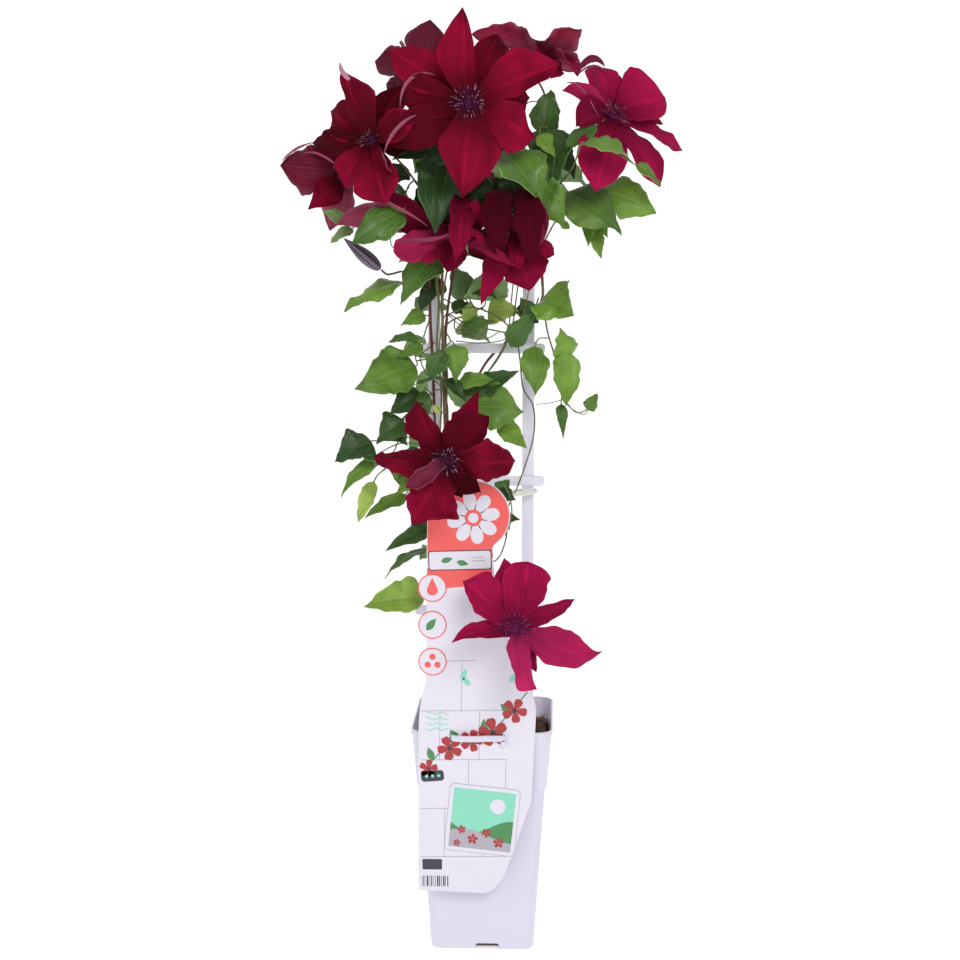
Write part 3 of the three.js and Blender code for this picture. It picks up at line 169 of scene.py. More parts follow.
              tone=0.9, nick=4, blunt=1.3)]),
    "centre_left": dict(at=(-21, -50, 667), face=(-0.25, -0.6, -0.76), crown=(-0.1, -0.1, -1), stamens=0.7, bow=8,
        tint=0.4, shade=0.5, tepals=[
        tepal((-76, -78, 648), 1.2, (8, 10, 12, 11), (7, 9, 12, 14), side=(-0.15, 0, -1), wave=3, roll=(-0.7, 0.5),
              blunt=2.2, tone=-0.4, nick=2.5),
        tepal((-129, -56, 671), -1, (9, 12, 12, 8), (9, 13, 15, 10), side=(0, 0, 1), roll=(0.5, -0.7), wave=2,
              sway=16, tone=-0.05, nick=2),
        tepal((-99, -54, 706), 2.6, (11, 17, 17, 9), (10, 16, 14, 8), roll=(0.3, 0.4), twist=35, late=0.8, tone=0.6),
        tepal((-52, -14, 698), 1, (9, 15, 16, 10)),
        tepal((-4, -22, 696), -1),
        tepal((2, -78, 664), 1.8, (10, 18, 20, 14), roll=(0.3, -0.8), wave=2),
        tepal((-3, -74, 694), 2.4, (8, 13, 15, 10), (7, 12, 13, 8), roll=(0.9, 0.5), twist=25, tone=0.15),
        tepal((-60, -62, 642), -1, (9, 14, 15, 10), tone=0.4, nick=2),
        tepal((-30, -58, 630), -0.6, (8, 13, 14, 8), roll=(1.2, 0.4), tone=0.7),
        tepal((-22, -84, 640), 0, (8, 11, 11, 7), (8, 10, 11, 8),
              rib=[(-18, -56, 700), (-14, -84, 694), (-15, -94, 668)], side=(1, 0, 0), wave=2.6, roll=(0.6, -0.8),
              tone=0.5, nick=3)],
        curls=[(1.5, [(-101, -66, 703), (-85, -72, 690), (-66, -74, 686), (-46, -72, 670)]),
               (2.2, [(-72, -88, 657), (-58, -92, 661), (-44, -90, 654), (-22, -88, 666)], -0.2)]),
    "middle": dict(at=(-29, -100, 470), face=(-0.04, -0.97, -0.24), bow=6, tint=0.05, stamens=0.85, nick=2.6,
        tone=0.45, tepals=[
        tepal((8, -90, 506), 1.4, (8, 11, 10, 7), (16, 26, 25, 17), roll=(0.25, 0.2), wave=2.2, tone=0.68, blunt=0.6),
        tepal((-1, -82, 528), -1.4, (7, 9, 9, 5), (7, 10, 10, 6), tone=0.35),
        tepal((-57, -80, 519), -1, (9, 10, 8, 4), (11, 14, 17, 15), roll=(-0.2, 0.2), wave=2.2, tone=0.62, blunt=0.6),
        tepal((-94, -84, 468), 0.8, (12, 12, 9, 8), (13, 17, 11, 9), roll=(0.3, 0.2), wave=1.8, blunt=1.8, tone=0.4,
              nick=3),
        tepal((-64, -108, 445), 3.4, (7, 9, 9, 6), side=(-0.7, 0, 0.7), roll=(-1.0, -1.0), tone=0.5),
        tepal((-60, -98, 411), -0.4, (14, 21, 16, 8), (17, 28, 28, 13), roll=(0.2, 0.2), wave=2.4, tone=0.56, nick=4),
        tepal((1, -94, 439), -1.4, (8, 11, 12, 7), (8, 10, 10, 5), roll=(0.9, 0.9), wave=1.6, tone=1, blunt=0.4),
        tepal((-16, -92, 434), -1.8, (7, 10, 10, 6), (7, 9, 9, 5), tone=0.9, blunt=0.5),
        tepal((31, -88, 467), 0.6, (10, 14, 17, 13), (13, 20, 21, 12), roll=(0.2, 0.25), wave=3)]),
    "lower": dict(at=(32, -110, 320), face=(0.1, -0.86, 0.5), crown=(0.08, -0.6, 0.8), bow=6, tint=1.0, stamens=1.3,
        nick=1.4, tone=0.1, tepals=[
        tepal((21, -84, 379), -1.2, (8, 12, 13, 8), (8, 14, 14, 7), roll=(0.3, 0.3), tone=0.4),
        tepal((42, -84, 376), -0.6, (12, 19, 22, 20), (12, 18, 20, 17), roll=(0.4, 0.5), tone=0.15, blunt=2.3),
        tepal((84, -92, 344), 1, (7, 9, 8, 5), (7, 8, 6, 4), rim=(1.2, 1.2), twist=60, wave=1.8, tone=0.3),
        tepal((108, -112, 302), 0, (11, 18, 15, 6), (11, 19, 15, 5),
              rib=[(34, -111, 320), (62, -120, 308), (92, -118, 296)], wave=3, roll=(-0.3, 0.3), tone=-0.35,
              blunt=0.5),
        tepal((51, -126, 271), 0, (10, 9, 9, 13), (10, 9, 7, 4),
              rib=[(33, -113, 318), (35, -125, 299), (38, -127, 282)], roll=(-0.5, 0.4), wave=2, tone=-0.3),
        tepal((50, -110, 282), -3.5, (7, 9, 7, 4), tone=0.6),
        tepal((-24, -114, 309), 0, (8, 10, 8, 5), (7, 7, 6, 3),
              rib=[(31, -109, 318), (6, -116, 322), (-12, -117, 319)], rim=(0, 2.4), wave=1.6, tone=0.4),
        tepal((-15, -94, 360), 0.8, (12, 18, 21, 19), (11, 15, 13, 7), roll=(0.3, 0.2), blunt=0.8, nick=2)]),
    "back": dict(at=(-6, 75, 744), face=(0.05, 0.97, 0.22), bow=6, tint=0.2, tepals=[
        tepal((-8, 68, 796), 1.4, (10, 18, 20, 12), (10, 18, 19, 12)),
        tepal((36, 72, 772), -1.4, (10, 17, 19, 13), (10, 17, 18, 11), wave=2),
        tepal((38, 80, 722), 1.4, (10, 18, 20, 13), (10, 18, 19, 12)),
        tepal((-4, 88, 692), -1.2, (10, 18, 19, 11), (10, 19, 20, 12)),
        tepal((-48, 82, 718), 1.4, (10, 17, 18, 12), (10, 17, 19, 12), wave=2),
        tepal((-50, 70, 768), -1.4, (10, 18, 20, 13), (10, 18, 18, 11))]),
}

STEM, STALK, SHOOT = 1.35, 0.95, 0.7     # radii
# Warmth and depth of each stem's bark.
STEM_TINTS = {"stem_left": (0.7, 0.9), "stem_centre": (1.5, 1.7), "stem_front": (0.8, 0.6),
              "stem_right": (1.0, 1.2), "stem_low": (1.0, 0.7)}
# Each stem from the compost, then its branches: radius, points, and the bloom it carries, if any.
STEMS = {
    "stem_left": [
        (STEM, [(-34, 8, 174), (-36, 6, 250), (-40, 3, 350), (-44, 0, 440), (-48, 5, 551), (-50, 5, 593),
                (-49, 5, 640), (-47, 2, 680)]),
        (STALK, [(-47, 2, 679), (-55, -16, 700), (-70, -24, 722)], "left"),
        (STALK, [(-49, 5, 650), (-70, 6, 682), (-95, 0, 708)], "far_left"),
        (STALK, [(-49.6, 5, 606), (-60, 2, 620), (-72, -10, 629), (-81, -30, 628), (-86, -38.3, 627.8),
                 (-90.7, -39.9, 631.8)])],
    "stem_centre": [
        (STEM, [(-24, 18, 174), (-26, 8, 250), (-30, 4, 350), (-34, 2, 430), (-37, 0, 511), (-38, 0, 565),
                (-38, 0, 643), (-34, 0, 690), (-38, 8, 740)]),
        (STALK, [(-38, 8, 739), (-44, 4, 770)], "back_left"),
        (STALK, [(-34, 0, 690), (-20, 20, 715), (-10, 42, 735)], "back")],
    "stem_front": [
        (STEM, [(-18, -8, 174), (-22, -10, 250), (-26, -12, 350), (-30, -13, 440), (-35, -10, 528),
                (-34, -10, 584), (-23, -10, 658), (-19, -10, 694), (-17, -14, 730)]),
        (STALK, [(-17, -14, 729), (-14, -30, 755), (-11, -60, 772)], "top"),
        (STALK, [(-19, -10, 694), (-17, -20, 704), (-17, -34, 698)], "centre_left"),
        (STALK, [(-34, -11, 505), (-32, -35, 510), (-30, -60, 496)], "middle"),
        (SHOOT, [(-31.5, -44, 506.5), (-34.5, -45.5, 504.4), (-37.5, -46.2, 504.4)]),
        (SHOOT, [(-34, -10, 590), (-12, -8, 597), (12, -4, 588), (28, -2, 572), (33, 0, 548), (36, 2, 522),
                 (45, 4, 506), (46, 5, 480), (38, 5, 450), (29, 5, 425), (22, 0, 410), (21, -8, 385),
                 (14, -12, 366), (6, -12, 360)])],
    "stem_right": [
        (STEM, [(-8, 34, 174), (-14, 36, 260), (-18, 38, 350), (-20, 40, 440), (-5, 40, 534), (29, 35, 572),
                (46, 34, 590), (53, 24, 604), (53, 11, 622), (51, 7, 650), (51, 12, 700), (48, 19, 735)]),
        (STALK, [(48, 19, 734), (52, 22, 752), (56, 26, 770), (54, 30, 790)], "back_right"),
        (STALK, [(52, 13, 706), (68, 0, 736), (88, -12, 752)], "right"),
        (STALK, [(51, 8, 668), (47, -8, 692), (38, -26, 694)], "centre")],
    "stem_low": [
        (STEM, [(24, 30, 174), (36, 6, 240), (54, -12, 290)]),
        (STALK, [(54, -12, 289), (56, -45, 302), (46, -78, 305)], "lower")],
}

FRONT, REAR = (0.1, -0.85, 0.5), (0.1, 0.8, 0.6)
SIDE_LEFT = (-0.55, -0.55, 0.63)
# Leafy sprays: leaf stalk, kind of green, and leaflets as base, tip, width, lightness from 0 to 1, which is painted
# light and shade from a leaf in the shade to one in full light, and facing where it isn't the front.
SPRAYS = {
    "leaves_a": ([(-48.5, 4.5, 658), (-41, -12, 661), (-40, -21, 650), (-52, -19, 634), (-62, -21, 627)], "leaf", [
        ((-72, -26, 620), (-124, -45, 594), 27, 0.9, SIDE_LEFT), ((-44, -26, 646), (-74, -38, 600), 28, 0.6)]),
    "leaves_b": ([(-49.5, 5, 585), (-52, -4, 580), (-55, -8, 570)], "young_leaf", [
        ((-54, -5, 590), (-76, -12, 580), 15, 0.3), ((-58, -9, 569), (-86, -25, 566), 14, 0, SIDE_LEFT),
        ((-56, -12, 562), (-76, -22, 552), 12, 0.2)]),
    "leaves_c": ([(-47.5, 5, 547), (-54, -6, 549), (-62, -9, 548)], "leaf", [
        ((-69, -6, 556), (-103, -26, 532), 16, 0.1, SIDE_LEFT), ((-62, -12, 543), (-115, -45, 525), 42, 0.8)]),
    "leaves_d": ([(-34, -10, 573), (-32, -20, 572), (-29, -24, 567)], "leaf", [
        ((-26, -26, 564), (-24, -34, 530), 21, 0.95), ((-35, -28, 559), (-48, -34, 532), 18, 0.4)]),
    "leaves_e": ([(-35, -10, 527), (-25, -18, 521), (-12, -18, 514)], "leaf", [
        ((-37, -24, 534), (-62, -44, 528), 15, 0.3, SIDE_LEFT), ((-23, -22, 527), (10, -35, 533), 15, 0.85),
        ((-4, -14, 520), (33, -18, 540), 19, 0.2), ((-6, -22, 507), (37, -26, 503), 40, 0.75)]),
    "leaves_f": ([(53, 14, 616), (54, 4, 602), (58, 0, 575), (70, 0, 535), (72, -2, 515)], "leaf", [
        ((53, 0, 604), (82, -24, 590), 42, 1), ((46, -6, 561), (47, -20, 517), 24, 0.85),
        ((76, -8, 556), (75, -16, 508), 24, 1), ((77, -6, 552), (69, -14, 579), 25, 1),
        ((71, -4, 508), (73, -12, 477), 10, 0.6), ((96, -4, 503), (104, -12, 519), 13, 0.7)]),
    "leaves_g": ([(-38, 0, 577), (-30, 9, 584), (-14, 11, 590), (-2, 12, 596)], "pale_leaf", [
        ((1, 14, 602), (2, 8, 633), 36, 0.5), ((-14, 6, 583), (-13, 2, 602), 15, 0.9),
        ((3, 8, 592), (33, 4, 592), 25, 1), ((-21, 4, 574), (11, -4, 584), 17, 0.1),
        ((-17, 12, 603), (-32, 14, 640), 24, 0.3)]),
    "leaves_h_upper": ([(-46, 3, 497), (-62, -2, 503), (-82, -6, 488), (-97, -10, 472)], "leaf", [
        ((-104, -10, 474), (-136, -25, 456), 33, 0.15), ((-74, -12, 494), (-98, -22, 472), 25, 0.2),
        ((-58, -6, 518), (-87, -16, 497), 25, 0.15)]),
    "leaves_h_lower": ([(-44.5, 0, 450), (-62, -6, 452), (-82, -10, 454), (-94, -12, 446)], "young_leaf", [
        ((-96, -10, 454), (-130, -30, 424), 14, 0.3, SIDE_LEFT), ((-101, -17, 437), (-115, -25, 400), 15, 1),
        ((-72, -12, 424), (-109, -25, 404), 14, 0.4), ((-60, -8, 441), (-81, -14, 425), 17, 0.6)]),
    "leaves_i": ([(-42, 1, 400), (-46, -12, 402), (-49, -20, 388)], "leaf", [
        ((-51, -20, 392), (-89, -40, 376), 14, 0.3), ((-52, -25, 376), (-89, -45, 351), 15, 0.4, SIDE_LEFT),
        ((-50, -16, 406), (-68, -24, 386), 16, 0.2)]),
    "leaf_i_low": ([(-38.5, 4, 325), (-46, -14, 334)], "young_leaf", [
        ((-55, -30, 333), (-108, -52, 327), 31, 0.7)]),
    "leaf_j": ([(-36, 1, 480), (-12, -2, 492)], "young_leaf", [
        ((14, -2, 488), (40, -12, 468), 19, 0.5)]),
    "leaves_k": ([(29, 5, 425), (16, 0, 418)], "leaf", [
        ((12, -3, 422), (24, -4, 438), 15, 0.5), ((9, -5, 402), (34, -10, 401), 13, 0.2)]),
    "leaf_l": ([(51, 7, 660), (44, -20, 700), (30, -48, 730)], "leaf", [
        ((20, -54, 736), (53, -78, 688), 46, 0.7)]),
    "leaves_m": ([(52, 13, 712), (56, 2, 735), (56, -12, 750)], "leaf", [
        ((57, -22, 757), (58, -45, 697), 40, 0.2), ((52, -8, 753), (60, 0, 792), 27, 0.55)]),
    "leaves_n": ([(51, 7, 648), (66, -6, 676), (86, -14, 696)], "young_leaf", [
        ((74, -25, 700), (123, -55, 662), 46, 0.0), ((105, -12, 702), (155, -22, 681), 38, 0.45),
        ((98, -20, 669), (106, -30, 641), 15, 0.4)]),
    "leaves_o": ([(52, 8, 684), (66, -26, 704), (80, -64, 722), (86, -86, 740)], "young_leaf", [
        ((90, -90, 741), (131, -97, 723), 24, 0.3, (0.2, -0.5, 0.85)), ((133, -96, 722), (155, -90, 704), 11, 0)]),
    "leaf_p": ([(51.5, 8, 640), (52, -14, 668), (48, -38, 690)], "leaf", [
        ((38, -50, 694), (77, -62, 668), 40, 0.8)]),
    "leaf_q": ([(-18, -12, 712), (-22, -24, 730)], "leaf", [
        ((-27, -34, 736), (-40, -74, 664), 48, 0.12)]),
    "leaves_r": ([(-62, -20, 711), (-66, -40, 705), (-68, -56, 693)], "leaf", [
        ((-69, -63, 684), (-112, -84, 655), 33, 0.6), ((-69, -34, 701), (-88, -38, 688), 21, 0.15)]),
    "leaves_s": ([(-78, 4, 693), (-98, -14, 680), (-114, -26, 673)], "pale_leaf", [
        ((-124, -32, 674), (-143, -40, 684), 13, 0.3), ((-117, -30, 668), (-136, -37, 655), 12, 0.6)]),
    "leaves_t": ([(-38, 0, 630), (-42, 24, 640), (-40, 44, 650)], "leaf", [
        ((-44, 52, 652), (-84, 66, 636), 34, 0.5, REAR), ((-34, 54, 656), (-10, 78, 640), 32, 0.3, REAR)]),
    "leaves_u": ([(52, 11, 694), (48, 40, 700), (44, 56, 704)], "leaf", [
        ((48, 64, 704), (86, 78, 686), 36, 0.4, REAR), ((38, 66, 700), (16, 82, 664), 32, 0.6, REAR)]),
    "leaves_v": ([(-37, 0, 511), (-38, 22, 522), (-36, 38, 526)], "young_leaf", [
        ((-40, 46, 526), (-72, 62, 510), 28, 0.6, REAR), ((-30, 46, 522), (-12, 60, 490), 26, 0.4, REAR)]),
}

# Further leaflets that fill the plant, each on its own stalk from the nearest stem.
FILL = {
    "upper": [
        ((-2, -22, 712), (14, -26, 668), 38, 0), ((30, -22, 708), (48, -26, 662), 34, 0.1),
        ((-36, -26, 712), (-60, -34, 676), 28, 0.05), ((44, -20, 706), (66, -24, 676), 30, 0.5),
        ((-12, -24, 706), (-36, -28, 672), 32, 0.1), ((-40, -34, 744), (-80, -42, 728), 20, 0),
        ((-18, -44, 750), (-50, -52, 716), 34, 0.05), ((2, -44, 716), (-16, -50, 686), 26, 0),
        ((22, -30, 716), (34, -40, 684), 26, 0.05), ((-50, 2, 704), (-28, -2, 668), 30, 0.1),
        ((-18, 8, 706), (8, 4, 672), 34, 0.05), ((22, 12, 706), (44, 4, 674), 28, 0.2),
        ((50, -46, 750), (64, -54, 730), 15, 0.9), ((100, -58, 757), (73, -52, 738), 16, 0.45),
        ((60, -10, 740), (82, -26, 712), 24, 0.15), ((92, -24, 682), (94, -34, 652), 12, 0.8),
        ((84, -10, 690), (112, -20, 660), 22, 0.7), ((-70, 8, 722), (-92, 0, 706), 18, 0.1),
        ((-44, 26, 746), (-66, 34, 718), 26, 0.4, REAR), ((6, 40, 730), (30, 54, 704), 30, 0.5, REAR),
        ((-20, 40, 716), (-44, 52, 690), 30, 0.2, REAR), ((30, 34, 776), (12, 44, 752), 24, 0.3, REAR),
        ((66, 22, 726), (94, 34, 706), 28, 0.6, REAR)],
    "middle": [
        ((-40, 10, 622), (-60, 4, 592), 20, 0.05), ((-46, 4, 654), (-64, -6, 640), 20, 0.3),
        ((24, -6, 562), (49, -14, 594), 20, 0.45), ((46, 4, 586), (33, -2, 606), 15, 0.3),
        ((-34, -22, 532), (-13, -34, 510), 14, 0.2), ((-20, -16, 524), (3, -20, 517), 17, 0.35),
        ((-56, -8, 520), (-52, -14, 496), 13, 0.45), ((-58, -18, 468), (-77, -24, 440), 23, 0),
        ((-84, -10, 464), (-75, -16, 432), 15, 0.75), ((-102, -12, 460), (-113, -16, 447), 10, 0.7),
        ((-86, -8, 486), (-70, -12, 470), 18, 0.3), ((-10, 8, 614), (12, 2, 604), 18, 0.6),
        ((-30, 8, 600), (-8, 6, 588), 16, 0.3), ((30, 10, 596), (50, 4, 582), 18, 0.5),
        ((-44, 26, 604), (-66, 40, 588), 28, 0.4, REAR), ((-22, 34, 582), (4, 48, 560), 30, 0.6, REAR),
        ((-52, 20, 560), (-78, 34, 548), 26, 0.3, REAR), ((22, 44, 576), (48, 54, 552), 26, 0.5, REAR),
        ((-14, 44, 500), (10, 54, 484), 24, 0.3, REAR), ((-50, 16, 480), (-72, 26, 462), 24, 0.6, REAR)],
    "lower": [
        ((-50, -12, 404), (-59, -20, 382), 18, 0.1), ((-46, -14, 424), (-66, -18, 410), 16, 0.4),
        ((14, -8, 428), (30, -12, 420), 14, 0.1), ((10, -10, 412), (24, -12, 392), 14, 0.3),
        ((-46, 18, 424), (-68, 30, 410), 22, 0.4, REAR), ((-24, 42, 424), (-6, 52, 404), 22, 0.5, REAR),
        ((-42, 14, 372), (-62, 24, 356), 20, 0.7, REAR)],
}
# Thin tendrils: radius and points.
TENDRILS = [
    (0.95, [(-42, -6, 700), (-45, -8, 650), (-41, -10, 606), (-43, -8, 560), (-39, -8, 520), (-41, -7, 470)]),
    (0.9, [(-27, -14, 694), (-30, -14, 650), (-37, -10, 606), (-36, -13, 570), (-33, -12, 530), (-35, -14, 500)]),
    (0.8, [(-36, -12, 670), (-41, -12, 640), (-43, -11, 616), (-38, -13, 588), (-41, -12, 552), (-37, -12, 520)]),
    (0.7, [(-3, -2, 530), (12, 0, 548), (24, 0, 572), (30, 2, 610), (34, 4, 640)]),
    (0.7, [(-5, 2, 526), (8, 3, 544), (20, 3, 566), (25, 4, 604), (28, 6, 640)]),
    (0.8, [(-24, -4, 572), (0, -6, 577), (26, -4, 574), (42, 0, 584), (50, 4, 606)]),
    (0.6, [(-26, -4, 566), (-6, 0, 564), (18, -2, 567), (34, 2, 578), (46, 8, 592)]),
    (0.5, [(-33, -4, 590), (-18, -8, 578), (0, -6, 568), (14, 0, 574)]),
    (0.5, [(72, -1, 512), (82, -2, 503), (92, -4, 499), (96, -4, 503)]),
    (0.4, [(48, -4, 508), (60, -3, 509), (71, -2, 512)]),
    (0.5, [(-110, -28, 674), (-112, -34, 662), (-104, -34, 656), (-100, -30, 662), (-104, -27, 668)]),
    (0.5, [(-84, -10, 672), (-82, -22, 652), (-72, -26, 650), (-66, -22, 656)]),
    (0.6, [(58, 4, 690), (72, -4, 700), (92, -8, 694)]),
    (0.5, [(54, 6, 672), (66, -8, 684), (78, -14, 680), (84, -12, 688), (76, -8, 692)]),
    (0.6, [(20, -8, 386), (26, -12, 404), (24, -14, 424), (18, -12, 436)]),
    (0.7, [(-50, 2, 560), (-58, -8, 552), (-52, -12, 536), (-42, -12, 528), (-36, -9, 520)]),
    (0.6, [(-60, -4, 500), (-54, -10, 512), (-46, -8, 520), (-38, -4, 522)]),
    (0.6, [(44, 6, 624), (40, -2, 608), (36, -6, 590), (30, -6, 574)]),
]

LONG_BUD = {"base": (-91, -40, 632), "tip": (-123, -50, 660), "radius": 6.0}
SMALL_BUD = {"base": (-37.85, -46.25, 504.6), "tip": (-44, -48, 511.6), "radius": 3.1}


# ---- Settings ----

def length(name, description, millimetres):
    return bpy.props.FloatProperty(name=name, description=description, default=millimetres * MM, min=0,
                                   unit="LENGTH", subtype="DISTANCE")


def colour(name, description, rgb):
    return bpy.props.FloatVectorProperty(name=name, description=description, default=rgb, size=3, min=0, max=1,
                                         subtype="COLOR")


class ClematisPotSettings(bpy.types.PropertyGroup):
    """Sizes and colours of the pot, its strap and the compost"""
    height: length("Height", "From the foot to the rim", 214)
    collar: length("Collar height", "Height of the stiffer band under the rim", 56)
    base_half: length("Half foot width", "Half the width of the foot", 48)
    neck_half: length("Half neck width", "Half the width just under the collar", 58.3)
    collar_half: length("Half collar width", "Half the width at the foot of the collar", 60)
    rim_half: length("Half rim width", "Half the width over the rim", 65)
    corner: length("Corner radius", "Radius of the upright corners", 11)
    wall: length("Wall", "Wall thickness", 1.8)
    floor: length("Floor", "Floor thickness", 3)
    plastic: colour("Plastic", "Colour of the moulded plastic", (0.70, 0.675, 0.80))
    compost: colour("Compost", "Colour of the moist compost", (0.045, 0.024, 0.014))
    root: colour("Roots", "Colour of the fine roots in the compost", (0.23, 0.10, 0.045))


class ClematisSupportSettings(bpy.types.PropertyGroup):
    """Sizes and colours of the trellis and the tie"""
    rail_width: length("Rail width", "Width of an upright rail", 11)
    rail_depth: length("Rail depth", "Depth of an upright rail", 6)
    web: length("Wall", "Thickness of the channel section", 1.8)
    bar_height: length("Bar height", "Height of a crossbar", 9)
    bar_depth: length("Bar depth", "Depth of a crossbar", 4)
    plastic: colour("Trellis", "Colour of the trellis", (0.82, 0.79, 0.91))
    tie: colour("Tie", "Colour of the tie", (0.74, 0.75, 0.66))


class ClematisLabelSettings(bpy.types.PropertyGroup):
    """Sizes and inks of the hanging label"""
    thickness: length("Thickness", "Thickness of the label sheet", 0.8)
    ink: length("Ink", "Thickness of a printed layer", 0.04)
    sheet: colour("Sheet", "Colour of the unprinted label", (0.76, 0.735, 0.83))
    coral: colour("Coral", "Warm main ink", (0.88, 0.11, 0.10))
    dark: colour("Dark", "Dark outline ink", (0.035, 0.03, 0.045))
    green: colour("Green", "Leaf ink", (0.06, 0.25, 0.08))
    red: colour("Red", "Flower ink", (0.42, 0.02, 0.025))
    mint: colour("Mint", "Pale green ink", (0.25, 0.70, 0.52))
    grey: colour("Grey", "Pale line ink", (0.42, 0.40, 0.46))


class ClematisPlantSettings(bpy.types.PropertyGroup):
    """Sizes and colours of the living pieces"""
    tepal_thickness: length("Tepal thickness", "Thickness of a petal-like tepal", 0.5)
    leaf_thickness: length("Leaf thickness", "Thickness of a leaflet", 0.5)
    hub: length("Hub radius", "Radius of the bloom's hub", 4.4)
    tepal_deep: colour("Deep tepal", "Shaded colour of the tepals", (0.17, 0.002, 0.014))
    tepal_bright: colour("Bright tepal", "Colour of the tepals along their ribs", (0.37, 0.004, 0.046))
    tepal_magenta: colour("Magenta tepal", "Colour of the freshest blooms", (0.52, 0.010, 0.092))
    tepal_back: colour("Tepal back", "Colour of the backs of the tepals", (0.13, 0.005, 0.026))
    stamen_dark: colour("Stamen", "Colour of the anthers", (0.030, 0.002, 0.016))
    stamen_fresh: colour("Fresh stamen", "Colour of the filaments of the freshest bloom", (0.070, 0.006, 0.042))
    stamen_tip: colour("Stamen tip", "Colour of the anthers' tips", (0.55, 0.27, 0.36))
    leaf_dark: colour("Dark leaf", "Colour of an old leaf in the shade", (0.012, 0.042, 0.010))
    leaf: colour("Leaf", "Colour of a grown leaf", (0.064, 0.152, 0.024))
    bright_leaf: colour("Bright leaf", "Colour of a leaf in full light", (0.175, 0.335, 0.034))
    young_leaf: colour("Young leaf", "Colour of a young leaf", (0.420, 0.570, 0.110))
    pale_leaf: colour("Pale leaf", "Colour of a leaf seen through to its pale side", (0.215, 0.345, 0.150))
    leaf_back: colour("Leaf back", "Colour of the underside of the leaves", (0.190, 0.300, 0.110))
    bark: colour("Stem", "Colour of the ripened stems", (0.13, 0.040, 0.024))
    green_bark: colour("Young stem", "Colour of the young shoots", (0.16, 0.17, 0.065))
    bud: colour("Bud", "Colour of the closed bud", (0.12, 0.090, 0.125))


class ClematisStageSettings(bpy.types.PropertyGroup):
    """Floor and light"""
    floor: colour("Floor", "Colour of the floor", (0.96, 0.96, 0.96))
    glow: bpy.props.FloatProperty(name="Glow", description="How much the floor and walls shine of themselves",
                                  default=0.45, min=0)
    daylight: bpy.props.FloatProperty(name="Daylight", description="Strength of the light from all round",
                                      default=0.36, min=0)
    key: bpy.props.FloatProperty(name="Key light", description="Power of the soft light in front, in watts",
                                 default=22, min=0)


def settings(name):
    return getattr(bpy.context.scene, "clematis_" + name)


# ---- Finishes ----

def scaled(values, factor):
    return [value * factor for value in values]


def mixed(first, second, share):
    return [a + (b - a) * share for a, b in zip(first, second)]


